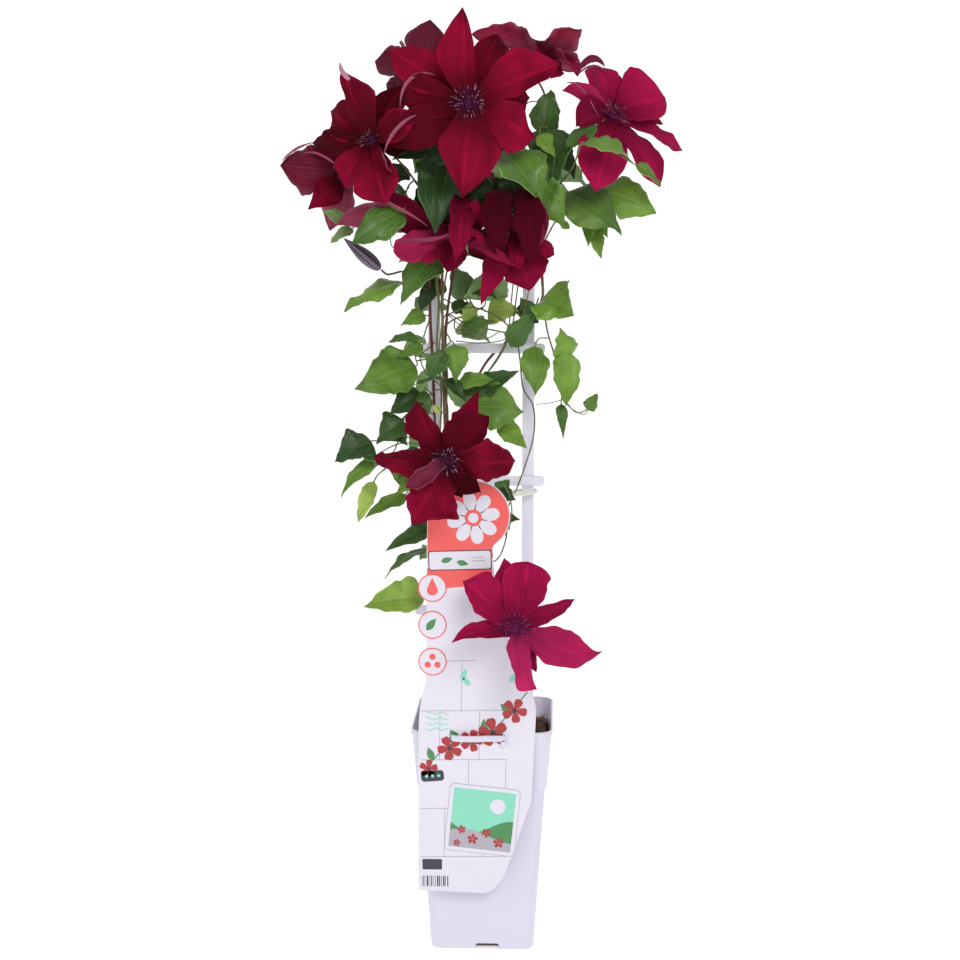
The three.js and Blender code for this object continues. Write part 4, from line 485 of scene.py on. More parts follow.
class Finish:
    """A material with a principled shader, and short ways to add the nodes of its pattern."""

    def __init__(self, name, roughness=0.5):
        self.material = bpy.data.materials.new(name)
        self.material.use_nodes = True
        self.nodes = self.material.node_tree.nodes
        self.links = self.material.node_tree.links
        self.shader = self.nodes["Principled BSDF"]
        self.set("Roughness", roughness)

    def set(self, socket, value):
        self.shader.inputs[socket].default_value = value

    def node(self, kind, inputs=None, **options):
        made = self.nodes.new(kind)
        for key, value in options.items():
            setattr(made, key, value)
        for key, value in (inputs or {}).items():
            if isinstance(value, bpy.types.NodeSocket):
                self.links.new(value, made.inputs[key])
            else:
                made.inputs[key].default_value = value
        return made

    def stretch(self, place, scale):
        return self.node("ShaderNodeMapping", {"Vector": place, "Scale": scale}).outputs["Vector"]

    def coords(self, scale=(1, 1, 1)):
        return self.stretch(self.node("ShaderNodeTexCoord").outputs["Object"], scale)

    def noise(self, vector, scale, detail=3.0, roughness=0.55):
        return self.node("ShaderNodeTexNoise", {"Vector": vector, "Scale": scale, "Detail": detail,
                                                "Roughness": roughness}).outputs["Fac"]

    def clouds(self, scale, detail):
        """Noise in the piece's own space."""
        return self.noise(self.coords(), scale, detail)

    def drawn_out(self, place, across, along, detail):
        """Noise drawn out into streaks over a blade's own UV map."""
        return self.noise(self.stretch(place, (across, along, 1)), 1, detail)

    def maths(self, operation, a, b=0.0, c=0.0):
        return self.node("ShaderNodeMath", {0: a, 1: b, 2: c}, operation=operation).outputs[0]

    def spread(self, value, low, high, to_low=0.0, to_high=1.0):
        """Maps a value from one range to another, smoothly and clamped."""
        span = {"Value": value, "From Min": low, "From Max": high, "To Min": to_low, "To Max": to_high}
        return self.node("ShaderNodeMapRange", span, interpolation_type="SMOOTHSTEP").outputs[0]

    def mix(self, share, a, b):
        made = self.node("ShaderNodeMix", data_type="RGBA")
        for socket, value in ((made.inputs[0], share), (made.inputs[6], a), (made.inputs[7], b)):
            if isinstance(value, bpy.types.NodeSocket):
                self.links.new(value, socket)
            elif isinstance(value, (int, float)):
                socket.default_value = value
            else:
                socket.default_value = (*value, 1.0)
        return made.outputs[2]

    def blend(self, a, b, value, low, high, to_low=0.0, to_high=1.0):
        """Mixes two colours by how far a value lies from one bound to the other."""
        return self.mix(self.spread(value, low, high, to_low, to_high), a, b)

    def across(self):
        """0 on a blade's rib and 1 at its edges, and the place along it, from its own UV map."""
        place = self.node("ShaderNodeUVMap", uv_map=CUT_UV).outputs[0]
        split = self.node("ShaderNodeSeparateXYZ", {0: place})
        from_rib = self.maths("ABSOLUTE", self.maths("MULTIPLY_ADD", split.outputs[0], 2.0, -1.0))
        return from_rib, split.outputs[1], place

    def tone(self):
        """The piece's own tone attribute, one value per blade: on tepals and leaves it holds painted light and shade.
        """
        return self.node("ShaderNodeAttribute", attribute_name=SHADE_AND_TONE).outputs["Fac"]

    def ribs(self, from_rib, middle, pairs, wide, strength):
        """Lines along a blade: one on its rib, and a pair at each of some distances from it."""
        drawn = self.spread(from_rib, 0.0, 0.05, middle, 0)
        for line in pairs:
            away = self.maths("ABSOLUTE", self.maths("SUBTRACT", from_rib, line))
            drawn = self.maths("MAXIMUM", drawn, self.spread(away, 0.0, wide, strength, 0))
        return drawn

    def bump(self, height, distance, strength=1.0):
        made = self.node("ShaderNodeBump", {"Height": height, "Distance": distance, "Strength": strength})
        self.links.new(made.outputs[0], self.shader.inputs["Normal"])

    def paint(self, value, socket="Base Color"):
        self.links.new(value, self.shader.inputs[socket])


def moulded_plastic(name, rgb, roughness):
    """Smooth plastic with a faint mottle in its colour and its gloss."""
    finish = Finish(name, roughness)
    finish.paint(finish.blend(scaled(rgb, 0.97), rgb, finish.clouds(14, 2), 0.3, 0.7))
    gloss = finish.spread(finish.clouds(60, 3), 0.3, 0.7, roughness - 0.05, roughness + 0.06)
    finish.paint(gloss, "Roughness")
    finish.bump(finish.clouds(900, 2), 0.00004)
    finish.set("Coat Weight", 0.15)
    finish.set("Coat Roughness", 0.25)
    return finish.material


def moist_compost(name, rgb, root):
    """Dark crumbs with patches that are tinted by fine roots."""
    finish = Finish(name, 0.9)
    crumbs = finish.noise(finish.coords(), 420, 5, 0.65)
    patches = finish.clouds(60, 4)
    dark = finish.blend(scaled(rgb, 0.4), scaled(rgb, 1.9), crumbs, 0.35, 0.7)
    finish.paint(finish.blend(dark, root, patches, 0.55, 0.8, 0, 0.5))
    finish.bump(crumbs, 0.0012)
    return finish.material


def petal_skin(name, deep, bright, share, shade):
    """Velvety tepal front: parallel veins, brighter along the rib and at the tip, with painted shade towards the
    heart, in cloudy hollows and where the tone is over 0.2, and a painted highlight where the tone is under 0.
    """
    finish = Finish(name, 0.7)
    from_rib, along, place = finish.across()
    streaks = finish.drawn_out(place, 34, 1.2, 4)
    threads = finish.drawn_out(place, 120, 2, 2)
    clouds = finish.clouds(38, 3)
    depths = finish.clouds(15, 2)
    dark = scaled(deep, 0.36)
    veined = finish.blend(deep, bright, streaks, 0.25, 0.75, 0.1, 0.65)
    threaded = finish.blend(veined, scaled(bright, 1.25), threads, 0.55, 0.75, 0, 0.16)
    tip = finish.blend(threaded, bright, along, 0.45, 1.0, 0, 0.75)
    # Painted shade: soft cloudy dark patches, then darker hollows, both weaker on fresher blooms.
    shaded = finish.blend(tip, deep, clouds, 0.42, 0.66, 0, 0.65 * (1 - 0.5 * share))
    hollow = finish.blend(shaded, dark, depths, 0.48, 0.62, 0, 0.6 * (1 - 0.6 * share))
    bar = finish.maths("MULTIPLY", finish.spread(from_rib, 0.02, 0.16, 0.5, 0), finish.spread(along, 0.3, 0.7))
    rib = finish.mix(bar, hollow, scaled(bright, 1.15))
    edge = finish.blend(rib, bright, from_rib, 0.8, 1.0, 0, 0.4)
    # Painted shade towards the heart, reaching further out on blooms whose shade is high.
    most = 0.85 - 0.45 * max(share - 0.3, 0) + 0.1 * shade
    heart = finish.spread(along, 0.04 + 0.25 * shade, 0.5 + 0.35 * shade, most, 0)
    base = finish.mix(heart, edge, dark)
    # Painted highlight where the tone is under 0, painted shade where it is over 0.2.
    pale = (min(1, bright[0] * 1.35), bright[1] * 1.5 + 0.03, bright[2] * 1.9 + 0.03)
    lit = finish.blend(base, pale, finish.tone(), -1, 0, 1, 0)
    finish.paint(finish.blend(lit, scaled(dark, 0.7), finish.tone(), 0.2, 1))
    finish.set("Sheen Weight", 0.03 + 0.05 * share)
    finish.set("Sheen Roughness", 0.3)
    finish.set("Sheen Tint", (1.0, 0.15, 0.4, 1))
    finish.set("Specular IOR Level", 0.05)
    finish.bump(finish.maths("ADD", streaks, finish.maths("MULTIPLY", threads, 0.4)), 0.0011, 0.9)
    return finish.material


def petal_back(name, rgb, bright):
    """Back of a tepal: crimson and mauve by turns, the mauve partly painted sheen, with a pale triple bar along the
    rib and pale edges, a painted highlight where the tone is under 0 and painted shade where it is over.
    """
    finish = Finish(name, 0.6)
    from_rib, _, place = finish.across()
    streaks = finish.drawn_out(place, 40, 1.4, 3)
    depths = finish.clouds(26, 2)
    skin = finish.blend(rgb, bright, streaks, 0.3, 0.72, 0, 0.6)
    # Mauve patches: partly the back's own colour, partly painted sheen on its folds.
    mauve = finish.blend(skin, (0.21, 0.030, 0.085), depths, 0.45, 0.65, 0, 0.5)
    bars = finish.ribs(from_rib, 0.42, (0.2, 0.34), 0.05, 0.2)
    barred = finish.mix(bars, mauve, (0.34, 0.15, 0.21))
    edged = finish.blend(barred, (0.36, 0.13, 0.21), from_rib, 0.7, 1.0, 0, 0.5)
    # Painted highlight where the tone is under 0, painted shade where it is over 0.2.
    lit = finish.blend(edged, (0.62, 0.30, 0.42), finish.tone(), -1, 0, 1.0, 0)
    finish.paint(finish.blend(lit, scaled(rgb, 0.3), finish.tone(), 0.2, 1, 0, 0.9))
    finish.set("Sheen Weight", 0.08)
    finish.set("Sheen Tint", (1.0, 0.6, 0.75, 1))
    finish.set("Specular IOR Level", 0.12)
    finish.bump(streaks, 0.0011, 0.8)
    return finish.material


def leaf_skin(name, dark, middle, light, gloss, back=False):
    """Leaf blade: pale ribs from base to tip, a faint net between them, a light margin, a soft gloss, its green
    painted from shade to full light by its tone.
    """
    finish = Finish(name, 0.62 if back else gloss)
    from_rib, _, place = finish.across()
    ribs = finish.ribs(from_rib, 1, (0.36, 0.68), 0.04, 0.55)
    net = finish.node("ShaderNodeTexVoronoi", {"Vector": finish.stretch(place, (11, 17, 1)), "Scale": 1.0},
                      feature="DISTANCE_TO_EDGE").outputs["Distance"]
    threads = finish.spread(net, 0.0, 0.12, 0.16, 0)
    veins = finish.maths("MAXIMUM", ribs, threads)
    clouds = finish.clouds(45, 4)
    # Painted light and shade: the tone runs from the leaf in the shade, through the middle green, to the leaf in full
    # light.
    grown = finish.blend(dark, middle, finish.tone(), 0, 0.5)
    toned = finish.blend(grown, light, finish.tone(), 0.5, 1)
    blade = finish.blend(toned, dark, clouds, 0.35, 0.7, 0.0, 0.45)
    warm = (middle[0] * 1.3 + 0.01, middle[1] * 1.05, middle[2] * 0.8)
    warmer = finish.blend(blade, warm, finish.clouds(17, 2), 0.45, 0.7, 0, 0.25)
    pale = [min(1.0, c * 1.35 + 0.05) for c in light]
    clear = finish.spread(finish.tone(), 0, 1, 0.12, 0.5)
    veined = finish.mix(finish.maths("MULTIPLY", veins, clear), warmer, pale)
    margin = finish.maths("MULTIPLY", finish.spread(from_rib, 0.92, 1.0, 0, 1.0), clear)
    finish.paint(finish.mix(margin, veined, pale))
    finish.set("Specular IOR Level", 0.25 if back else 0.36)
    finish.bump(finish.maths("MULTIPLY", veins, 1 if back else -1), 0.0006, 0.7)
    return finish.material


def stem_bark(name, ripe, young):
    """Streaked bark, ripe on old stems and green where the tone is high."""
    finish = Finish(name, 0.5)
    streaks = finish.noise(finish.coords((900, 900, 40)), 1, 3)
    patches = finish.clouds(30, 2)
    skin = finish.blend(scaled(ripe, 0.55), scaled(ripe, 1.5), streaks, 0.3, 0.7)
    green = finish.blend(scaled(young, 0.7), young, streaks, 0.3, 0.7)
    share = finish.maths("MAXIMUM", finish.tone(), finish.spread(patches, 0.62, 0.8, 0, 0.5))
    finish.paint(finish.mix(share, skin, green))
    finish.bump(streaks, 0.0002)
    return finish.material


def stamen_skin(name, dark, tip):
    """Purple, nearly black filaments; some are pale in their outer part, along their own UV."""
    finish = Finish(name, 0.6)
    along = finish.across()[1]
    fine = finish.clouds(700, 2)
    lower = finish.blend([dark[0] * 5, dark[1] * 4, dark[2] * 5], dark, along, 0.0, 0.7)
    speckled = finish.blend(lower, tip, fine, 0.5, 0.75, 0, 0.1)
    chosen = finish.spread(finish.tone(), 0.55, 0.85, 0.06, 0.85)
    pale = finish.maths("MULTIPLY", finish.spread(along, 0.6, 0.72), chosen)
    finish.paint(finish.mix(pale, speckled, tip))
    finish.set("Specular IOR Level", 0.12)
    finish.bump(fine, 0.0001)
    return finish.material


def bud_skin(name, rgb):
    """Closed bud: fine pale lines over dark furrows, along its own UV; the lines are partly painted highlight and the
    furrows painted shade.
    """
    finish = Finish(name, 0.6)
    _, along, place = finish.across()
    lines = finish.drawn_out(place, 34, 0.8, 2)
    # Pale lines, partly painted highlight, with painted shade in the dark furrows between them.
    striped = finish.blend(scaled(rgb, 0.2), scaled(rgb, 2.4), lines, 0.46, 0.56)
    finish.paint(finish.blend(striped, scaled(rgb, 0.6), along, 0.75, 1.0, 0, 0.5))
    finish.set("Sheen Weight", 0.1)
    finish.set("Specular IOR Level", 0.3)
    finish.bump(lines, 0.0009)
    return finish.material


def printed_ink(name, rgb):
    """A printed layer, a little grainy and worn."""
    finish = Finish(name, 0.36)
    grain = finish.clouds(1400, 2)
    worn = finish.clouds(22, 2)
    inked = finish.blend(scaled(rgb, 0.96), rgb, grain, 0.35, 0.65)
    finish.paint(finish.blend(inked, scaled(rgb, 0.8), worn, 0.4, 0.7, 0, 0.06))
    finish.bump(finish.clouds(120, 2), 0.00003)
    finish.set("Coat Weight", 0.2)
    return finish.material


# ---- Making meshes ----

def deselect():
    if bpy.context.object and bpy.context.object.mode != "OBJECT":
        bpy.ops.object.mode_set(mode="OBJECT")
    bpy.ops.object.select_all(action="DESELECT")


def select(*objects):
    deselect()
    for item in objects:
        item.select_set(True)
    bpy.context.view_layer.objects.active = objects[0]


def settle(piece, name, materials, *, nodes=(), smooth=math.radians(35)):
    """Puts a piece's place into its mesh, smooths it, names it and ties it to the frame."""
    select(piece)
    bpy.ops.object.transform_apply(location=True, rotation=True, scale=True)
    if smooth:
        bpy.ops.object.shade_smooth_by_angle(angle=smooth)
    piece.name = name
    piece.data.name = name
    if materials:
        piece.data.materials.clear()
        for material in materials:
            piece.data.materials.append(material)
    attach(piece, BODY)
    if nodes:
        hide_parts(*nodes)
    return piece


def join(pieces):
    select(*pieces)
    if len(pieces) > 1:
        bpy.ops.object.join()
    return bpy.context.object


def modify(piece, kind, **options):
    select(piece)
    modifier = piece.modifiers.new(kind.title(), kind)
    for key, value in options.items():
        setattr(modifier, key, value)
    bpy.ops.object.modifier_apply(modifier=modifier.name)


def edit_all():
    """Starts to edit the active piece, with all of it selected."""
    bpy.ops.object.mode_set(mode="EDIT")
    bpy.ops.mesh.select_all(action="SELECT")


def round_edges(piece, width, segments=2, angle=50):
    """Rounds the edges that are sharper than an angle in degrees; the width is in millimetres."""
    modify(piece, "BEVEL", width=width * MM, segments=segments, limit_method="ANGLE", angle_limit=math.radians(angle))


def face_outwards():
    """Turns the faces of the active piece outwards."""
    edit_all()
    bpy.ops.mesh.normals_make_consistent(inside=False)
    bpy.ops.object.mode_set(mode="OBJECT")


def points_of(mesh):
    """The places of a mesh's points, one row for each."""
    places = np.empty(len(mesh.vertices) * 3)
    mesh.vertices.foreach_get("co", places)
    return places.reshape(-1, 3)


def move_points(mesh, places):
    mesh.vertices.foreach_set("co", np.ascontiguousarray(places).ravel())


def set_tone(mesh, tone):
    layer = mesh.attributes.new(SHADE_AND_TONE, "FLOAT", "POINT")
    layer.data.foreach_set("value", np.full(len(mesh.vertices), tone))


def set_map(mesh, uvs):
    """Fills the mesh's UV map from one place per vertex."""
    corners = np.empty(len(mesh.loops), dtype=int)
    mesh.loops.foreach_get("vertex_index", corners)
    mesh.uv_layers[0].name = CUT_UV
    mesh.uv_layers[0].data.foreach_set("uv", uvs[corners].ravel())


def direction(values):
    return np.array(Vector(values).normalized())


def unit(vectors):
    return vectors / np.maximum(np.linalg.norm(vectors, axis=-1, keepdims=True), 1e-9)


def blade_pattern(name, columns, rows):
    """A flat unit blade, modelled once as a grid with its own UV map."""
    deselect()
    bpy.ops.mesh.primitive_grid_add(x_subdivisions=columns, y_subdivisions=rows, size=2, calc_uvs=True)
    pattern = bpy.context.object
    pattern.name = name
    set_map(pattern.data, (points_of(pattern.data)[:, :2] + 1) / 2)
    edit_all()
    bpy.ops.mesh.flip_normals()
    bpy.ops.object.mode_set(mode="OBJECT")
    return pattern


def copy_of(pattern, places, tone):
    """A copy of a pattern with its own mesh, its points moved, and its own tone."""
    mesh = pattern.data.copy()
    move_points(mesh, places)
    set_tone(mesh, tone)
    piece = bpy.data.objects.new(pattern.name, mesh)
    bpy.context.collection.objects.link(piece)
    return piece


def pattern_grid(pattern):
    """Where a blade pattern's points lie: across it, from -1 to 1, and along it, from 0 to 1."""
    places = points_of(pattern.data)
    return places[:, 0], (places[:, 1] + 1) / 2


def half_width(share, widths, root, heel, blunt, nick, rng):
    """A side's half width along a blade, in millimetres: a smooth line through its widths, with a nicked edge."""
    knots = np.array((root, *widths, 0.0))
    slopes = np.gradient(knots)
    slopes[0] *= heel
    slopes[-1] *= blunt
    spans = len(knots) - 1
    first = np.minimum((share * spans).astype(int), spans - 1)
    t = share * spans - first
    width = (knots[first] * (2 * t ** 3 - 3 * t ** 2 + 1) + slopes[first] * (t ** 3 - 2 * t ** 2 + t)
             + knots[first + 1] * (3 * t ** 2 - 2 * t ** 3) + slopes[first + 1] * (t ** 3 - t ** 2))
    nicks = 0.03 * np.sin(2 * np.pi * (2.7 * share + rng.uniform())) + 0.015 * np.sin(
        2 * np.pi * (6.1 * share + rng.uniform()))
    return np.maximum(width * (1 + nicks * nick), 0.05)


def rolled(reach, roll, rim):
    """How far out and up a point lies on a half blade that bends by roll, and by rim in its outer quarter."""
    steps = np.linspace(0, 1, 33)[1:] - 1 / 64
    bend = roll[:, None] * steps + rim[:, None] * np.clip((steps - 0.62) / 0.38, 0, 1) ** 1.2
    share = np.clip(reach[:, None] * 32 - np.arange(32), 0, 1) / 32
    return (np.cos(bend) * share).sum(axis=1), (np.sin(bend) * share).sum(axis=1)


def bent_blade(across, share, rib, side, shape, rng):
    """Places of a blade's points: across and share are its own grid, rib a curve of the share."""
    step = 0.01
    along = unit(rib(np.minimum(share + step, 1.0)) - rib(np.maximum(share - step, 0.0)))
    over = unit(side - along * (along @ side)[:, None])
    normal = np.cross(along, over)
    turn = np.radians(shape["twist"]) * share ** shape["late"]
    over, normal = (over * np.cos(turn)[:, None] + normal * np.sin(turn)[:, None],
                    normal * np.cos(turn)[:, None] - over * np.sin(turn)[:, None])
    first = across < 0
    cut = (shape["root"], shape["heel"], shape["blunt"], shape["nick"], rng)
    width = np.where(first, half_width(share, shape["cw"], *cut), half_width(share, shape["ccw"], *cut))
    bell = np.sin(np.pi * np.clip(share, 0, 1)) ** 0.5
    reach = np.abs(across)
    roll = np.where(first, *shape["roll"]) * bell
    rim = np.where(first, *shape["rim"]) * np.exp(-((share - shape["curl"]) / 0.24) ** 2)
    outwards, lift = rolled(reach, roll, rim)
    ripple = np.zeros_like(share)
    for beat, weight in ((1.7, 1.0), (3.9, 0.45), (8.3, 0.16)):
        ripple += weight * np.sin(2 * np.pi * (beat * share + np.where(first, rng.uniform(), rng.uniform())))
    ripple *= shape["wave"] * reach ** 2 * bell
    pucker = np.zeros_like(share)
    for _ in range(4):
        pucker += np.sin(rng.uniform(3, 9) * across + rng.uniform(5, 16) * share + rng.uniform(0, 6.3))
    pucker *= shape["pucker"] * bell
    groove = np.exp(-(reach / 0.05) ** 2) + 0.7 * np.exp(-((reach - 0.22) / 0.05) ** 2)
    groove *= -shape["groove"] * np.sin(np.pi * np.clip(share * 1.05, 0, 1))
    rise = lift * width + shape["fold"] * reach * width * bell + ripple + pucker + groove
    return (rib(share) + over * (np.where(first, -1, 1) * outwards * width)[:, None] * MM
            + normal * rise[:, None] * MM)


def bezier(points):
    """The curve of a few control points, as a function of the share along it."""
    controls = np.array(points)
    degree = len(controls) - 1
    weights = [math.comb(degree, k) for k in range(degree + 1)]

    def place(share):
        share = np.clip(share, 0, 1)[:, None]
        return sum(weight * share ** k * (1 - share) ** (degree - k) * control
                   for k, (weight, control) in enumerate(zip(weights, controls)))
    return place


def smooth_path(points, per_span=8):
    """A centripetal curve through all the points, in metres."""
    knots = [Vector(p) * MM for p in points]
    knots = [knots[0] * 2 - knots[1], *knots, knots[-1] * 2 - knots[-2]]
    times = [0.0]
    for a, b in zip(knots, knots[1:]):
        times.append(times[-1] + max((b - a).length ** 0.5, 1e-6))
    path = []
    for k in range(1, len(knots) - 2):
        t0, t1, t2, t3 = times[k - 1:k + 3]
        p0, p1, p2, p3 = knots[k - 1:k + 3]
        for step in range(per_span):
            t = t1 + (t2 - t1) * step / per_span
            a1 = p0.lerp(p1, (t - t0) / (t1 - t0))
            a2 = p1.lerp(p2, (t - t1) / (t2 - t1))
            a3 = p2.lerp(p3, (t - t2) / (t3 - t2))
            b1 = a1.lerp(a2, (t - t0) / (t2 - t0))
            b2 = a2.lerp(a3, (t - t1) / (t3 - t1))
            path.append(b1.lerp(b2, (t - t1) / (t2 - t1)))
    path.append(knots[-2])
    return path


def rod(path, radii, tone, sides=3):
    """A round rod along a path as a mesh, thicker or thinner from point to point."""
    deselect()
    bpy.ops.curve.primitive_bezier_curve_add()
    piece = bpy.context.object
    curve = piece.data
    curve.splines.clear()
    spline = curve.splines.new("POLY")
    spline.points.add(len(path) - 1)
    for point, place, radius in zip(spline.points, path, radii):
        point.co = (*place, 1)
        point.radius = radius
    curve.bevel_depth = MM
    curve.bevel_resolution = sides
    curve.use_fill_caps = True
    bpy.ops.object.convert(target="MESH")
    piece = bpy.context.object
    set_tone(piece.data, tone)
    if not piece.data.uv_layers:
        piece.data.uv_layers.new(name=CUT_UV)
    piece.data.uv_layers[0].name = CUT_UV
    return piece


# ---- Pot, compost, trellis, tie ----

def rounded_square(half, corner, z, segments=8):
    """A flat square with round corners, in edit mode and selected."""
    deselect()
    bpy.ops.mesh.primitive_plane_add(size=2 * half, location=(0, 0, z))
    bpy.ops.object.transform_apply(location=True)
    edit_all()
    bpy.ops.mesh.bevel(offset=corner, segments=segments, affect="VERTICES")
    bpy.ops.mesh.select_all(action="SELECT")


def lathe_square(profile):
    """Extrudes the selected outline through a list of half widths and heights."""
    half, z = profile[0]
    for next_half, next_z in profile[1:]:
        bpy.ops.mesh.extrude_region_move(TRANSFORM_OT_translate={"value": (0, 0, next_z - z)})
        scale = next_half / half
        bpy.ops.transform.resize(value=(scale, scale, 1), center_override=(0, 0, next_z))
        half, z = next_half, next_z
    face_outwards()
    return bpy.context.object


def block(low, high, bevel=0.0, segments=2):
    """A box between two corners, in millimetres, with its edges rounded."""
    deselect()
    low, high = Vector(low) * MM, Vector(high) * MM
    bpy.ops.mesh.primitive_cube_add(size=1, location=(low + high) / 2, scale=high - low)
    bpy.ops.object.transform_apply(location=True, scale=True)
    if bevel:
        edit_all()
        bpy.ops.mesh.bevel(offset=bevel * MM, segments=segments, affect="EDGES")
        bpy.ops.object.mode_set(mode="OBJECT")
    return bpy.context.object


def select_edges(piece, wanted):
    """Leaves the piece in edit mode with only the wanted edges selected."""
    select(piece)
    bpy.ops.object.mode_set(mode="EDIT")
    bpy.ops.mesh.select_mode(type="EDGE")
    bpy.ops.mesh.select_all(action="DESELECT")
    bpy.ops.object.mode_set(mode="OBJECT")
    for edge in piece.data.edges:
        a, b = (piece.data.vertices[k].co for k in edge.vertices)
        edge.select = wanted(a, b)
    bpy.ops.object.mode_set(mode="EDIT")


def cut(piece, tool, operation="DIFFERENCE"):
    modify(piece, "BOOLEAN", operation=operation, object=tool, solver="EXACT")
    bpy.data.objects.remove(tool)


def extruded(points, shift):
    """A flat outline of points, extruded by a shift, all in millimetres."""
    deselect()
    bpy.ops.mesh.primitive_circle_add(vertices=len(points), radius=1, fill_type="NGON")
    piece = bpy.context.object
    for vertex, place in zip(piece.data.vertices, points):
        vertex.co = scaled(place, MM)
    edit_all()
    bpy.ops.mesh.extrude_region_move(TRANSFORM_OT_translate={"value": scaled(shift, MM)})
    face_outwards()
    return piece


LABEL_SLOTS = (-27, 5)
STRAP_BOTTOM, STRAP_TOP = 207, 212.5


class CLEMATIS_OT_pot(bpy.types.Operator):
    """Build the square pot with its collar, drain notches and label strap"""
    bl_idname = "clematis.pot"
    bl_label = "Pot"

    def execute(self, context):
        size = settings("pot")
        neck = size.height - size.collar
        edge = 0.6 * MM
        rounded_square(size.base_half - 1.6 * MM, size.corner - 1.6 * MM, 0)
        pot = lathe_square([
            (size.base_half - 1.6 * MM, 0), (size.base_half - 0.5 * MM, 0.4 * MM), (size.base_half, 1.6 * MM),
            (size.base_half + 0.12 * MM, 3.4 * MM),
            (size.neck_half, neck - edge), (size.neck_half, neck), (size.collar_half - edge, neck),
            (size.collar_half - 0.15 * MM, neck + 0.2 * MM), (size.collar_half, neck + edge),
            (size.rim_half - 0.9 * MM, size.height - 5 * MM), (size.rim_half - 0.1 * MM, size.height - 4.4 * MM),
            (size.rim_half, size.height - edge), (size.rim_half - 0.2 * MM, size.height - 0.15 * MM),
            (size.rim_half - edge, size.height), (size.rim_half - size.wall + 0.4 * MM, size.height),
            (size.rim_half - size.wall, size.height - 0.5 * MM),
            (size.collar_half - size.wall, neck + size.wall), (size.neck_half - size.wall, neck + size.wall),
            (size.base_half - size.wall, size.floor)])
        for turn in range(4):
            notch = block((-6, -size.base_half / MM - 4, -3), (16, -size.base_half / MM + 8, 6), 2.2, 3)
            select(notch)
            bpy.ops.transform.rotate(value=-turn * math.pi / 2, orient_axis="Z", center_override=(0, 0, 0))
            bpy.ops.object.transform_apply(location=True, rotation=True, scale=True)
            cut(pot, notch)
        left, right = LABEL_SLOTS
        root = -size.rim_half / MM + 1.2
        inner = [(left + 1.5, root), (left + 1.5, -68.0), (left + 3.6, -69.2), (left + 7, -70.1), (-16, -71),
                 (-11, -71.2), (-6, -71), (right - 6, -70.1), (right - 2.6, -69.3), (right - 1, -68.2),
                 (right - 1, root)]
        outer = [(right + 0.5, root), (right + 0.5, -68.2), (20, -68.2), (21.6, -68.5), (22, -69.2), (22, -70.5),
                 (right + 2, -70.5), (right - 5, -72), (-6, -72.7), (-11, -72.9), (-16, -72.7), (left + 5, -71.8),
                 (left + 1.4, -70.8), (left, -69.4), (left, root)]
        band = extruded([(x, y, STRAP_BOTTOM) for x, y in inner + outer], (0, 0, STRAP_TOP - STRAP_BOTTOM))
        strap = join([band, block((18, -70.5, STRAP_BOTTOM - 4.5), (22, -69, STRAP_BOTTOM + 1.5), 0.4)])
        round_edges(strap, 0.25)
        settle(join([pot, strap]), "pot_fine", [moulded_plastic("pot plastic", size.plastic, 0.34)],
               nodes=("pot",))
        return {"FINISHED"}


def heap(x, y):
    """Height in millimetres of the coir that is pushed up along the right wall."""
    return 15 * min(1.0, max(0.0, x - 36) / 14) * math.exp(-((y + 10) / 36) ** 2)


def clamp(value, low, high):
    return max(low, min(high, value))


def fibre(points, per_span, rng):
    """A thin root through some points, of a random thickness."""
    path = smooth_path(points, per_span)
    return rod(path, [rng.uniform(0.25, 0.5)] * len(path), 0.5, 0)


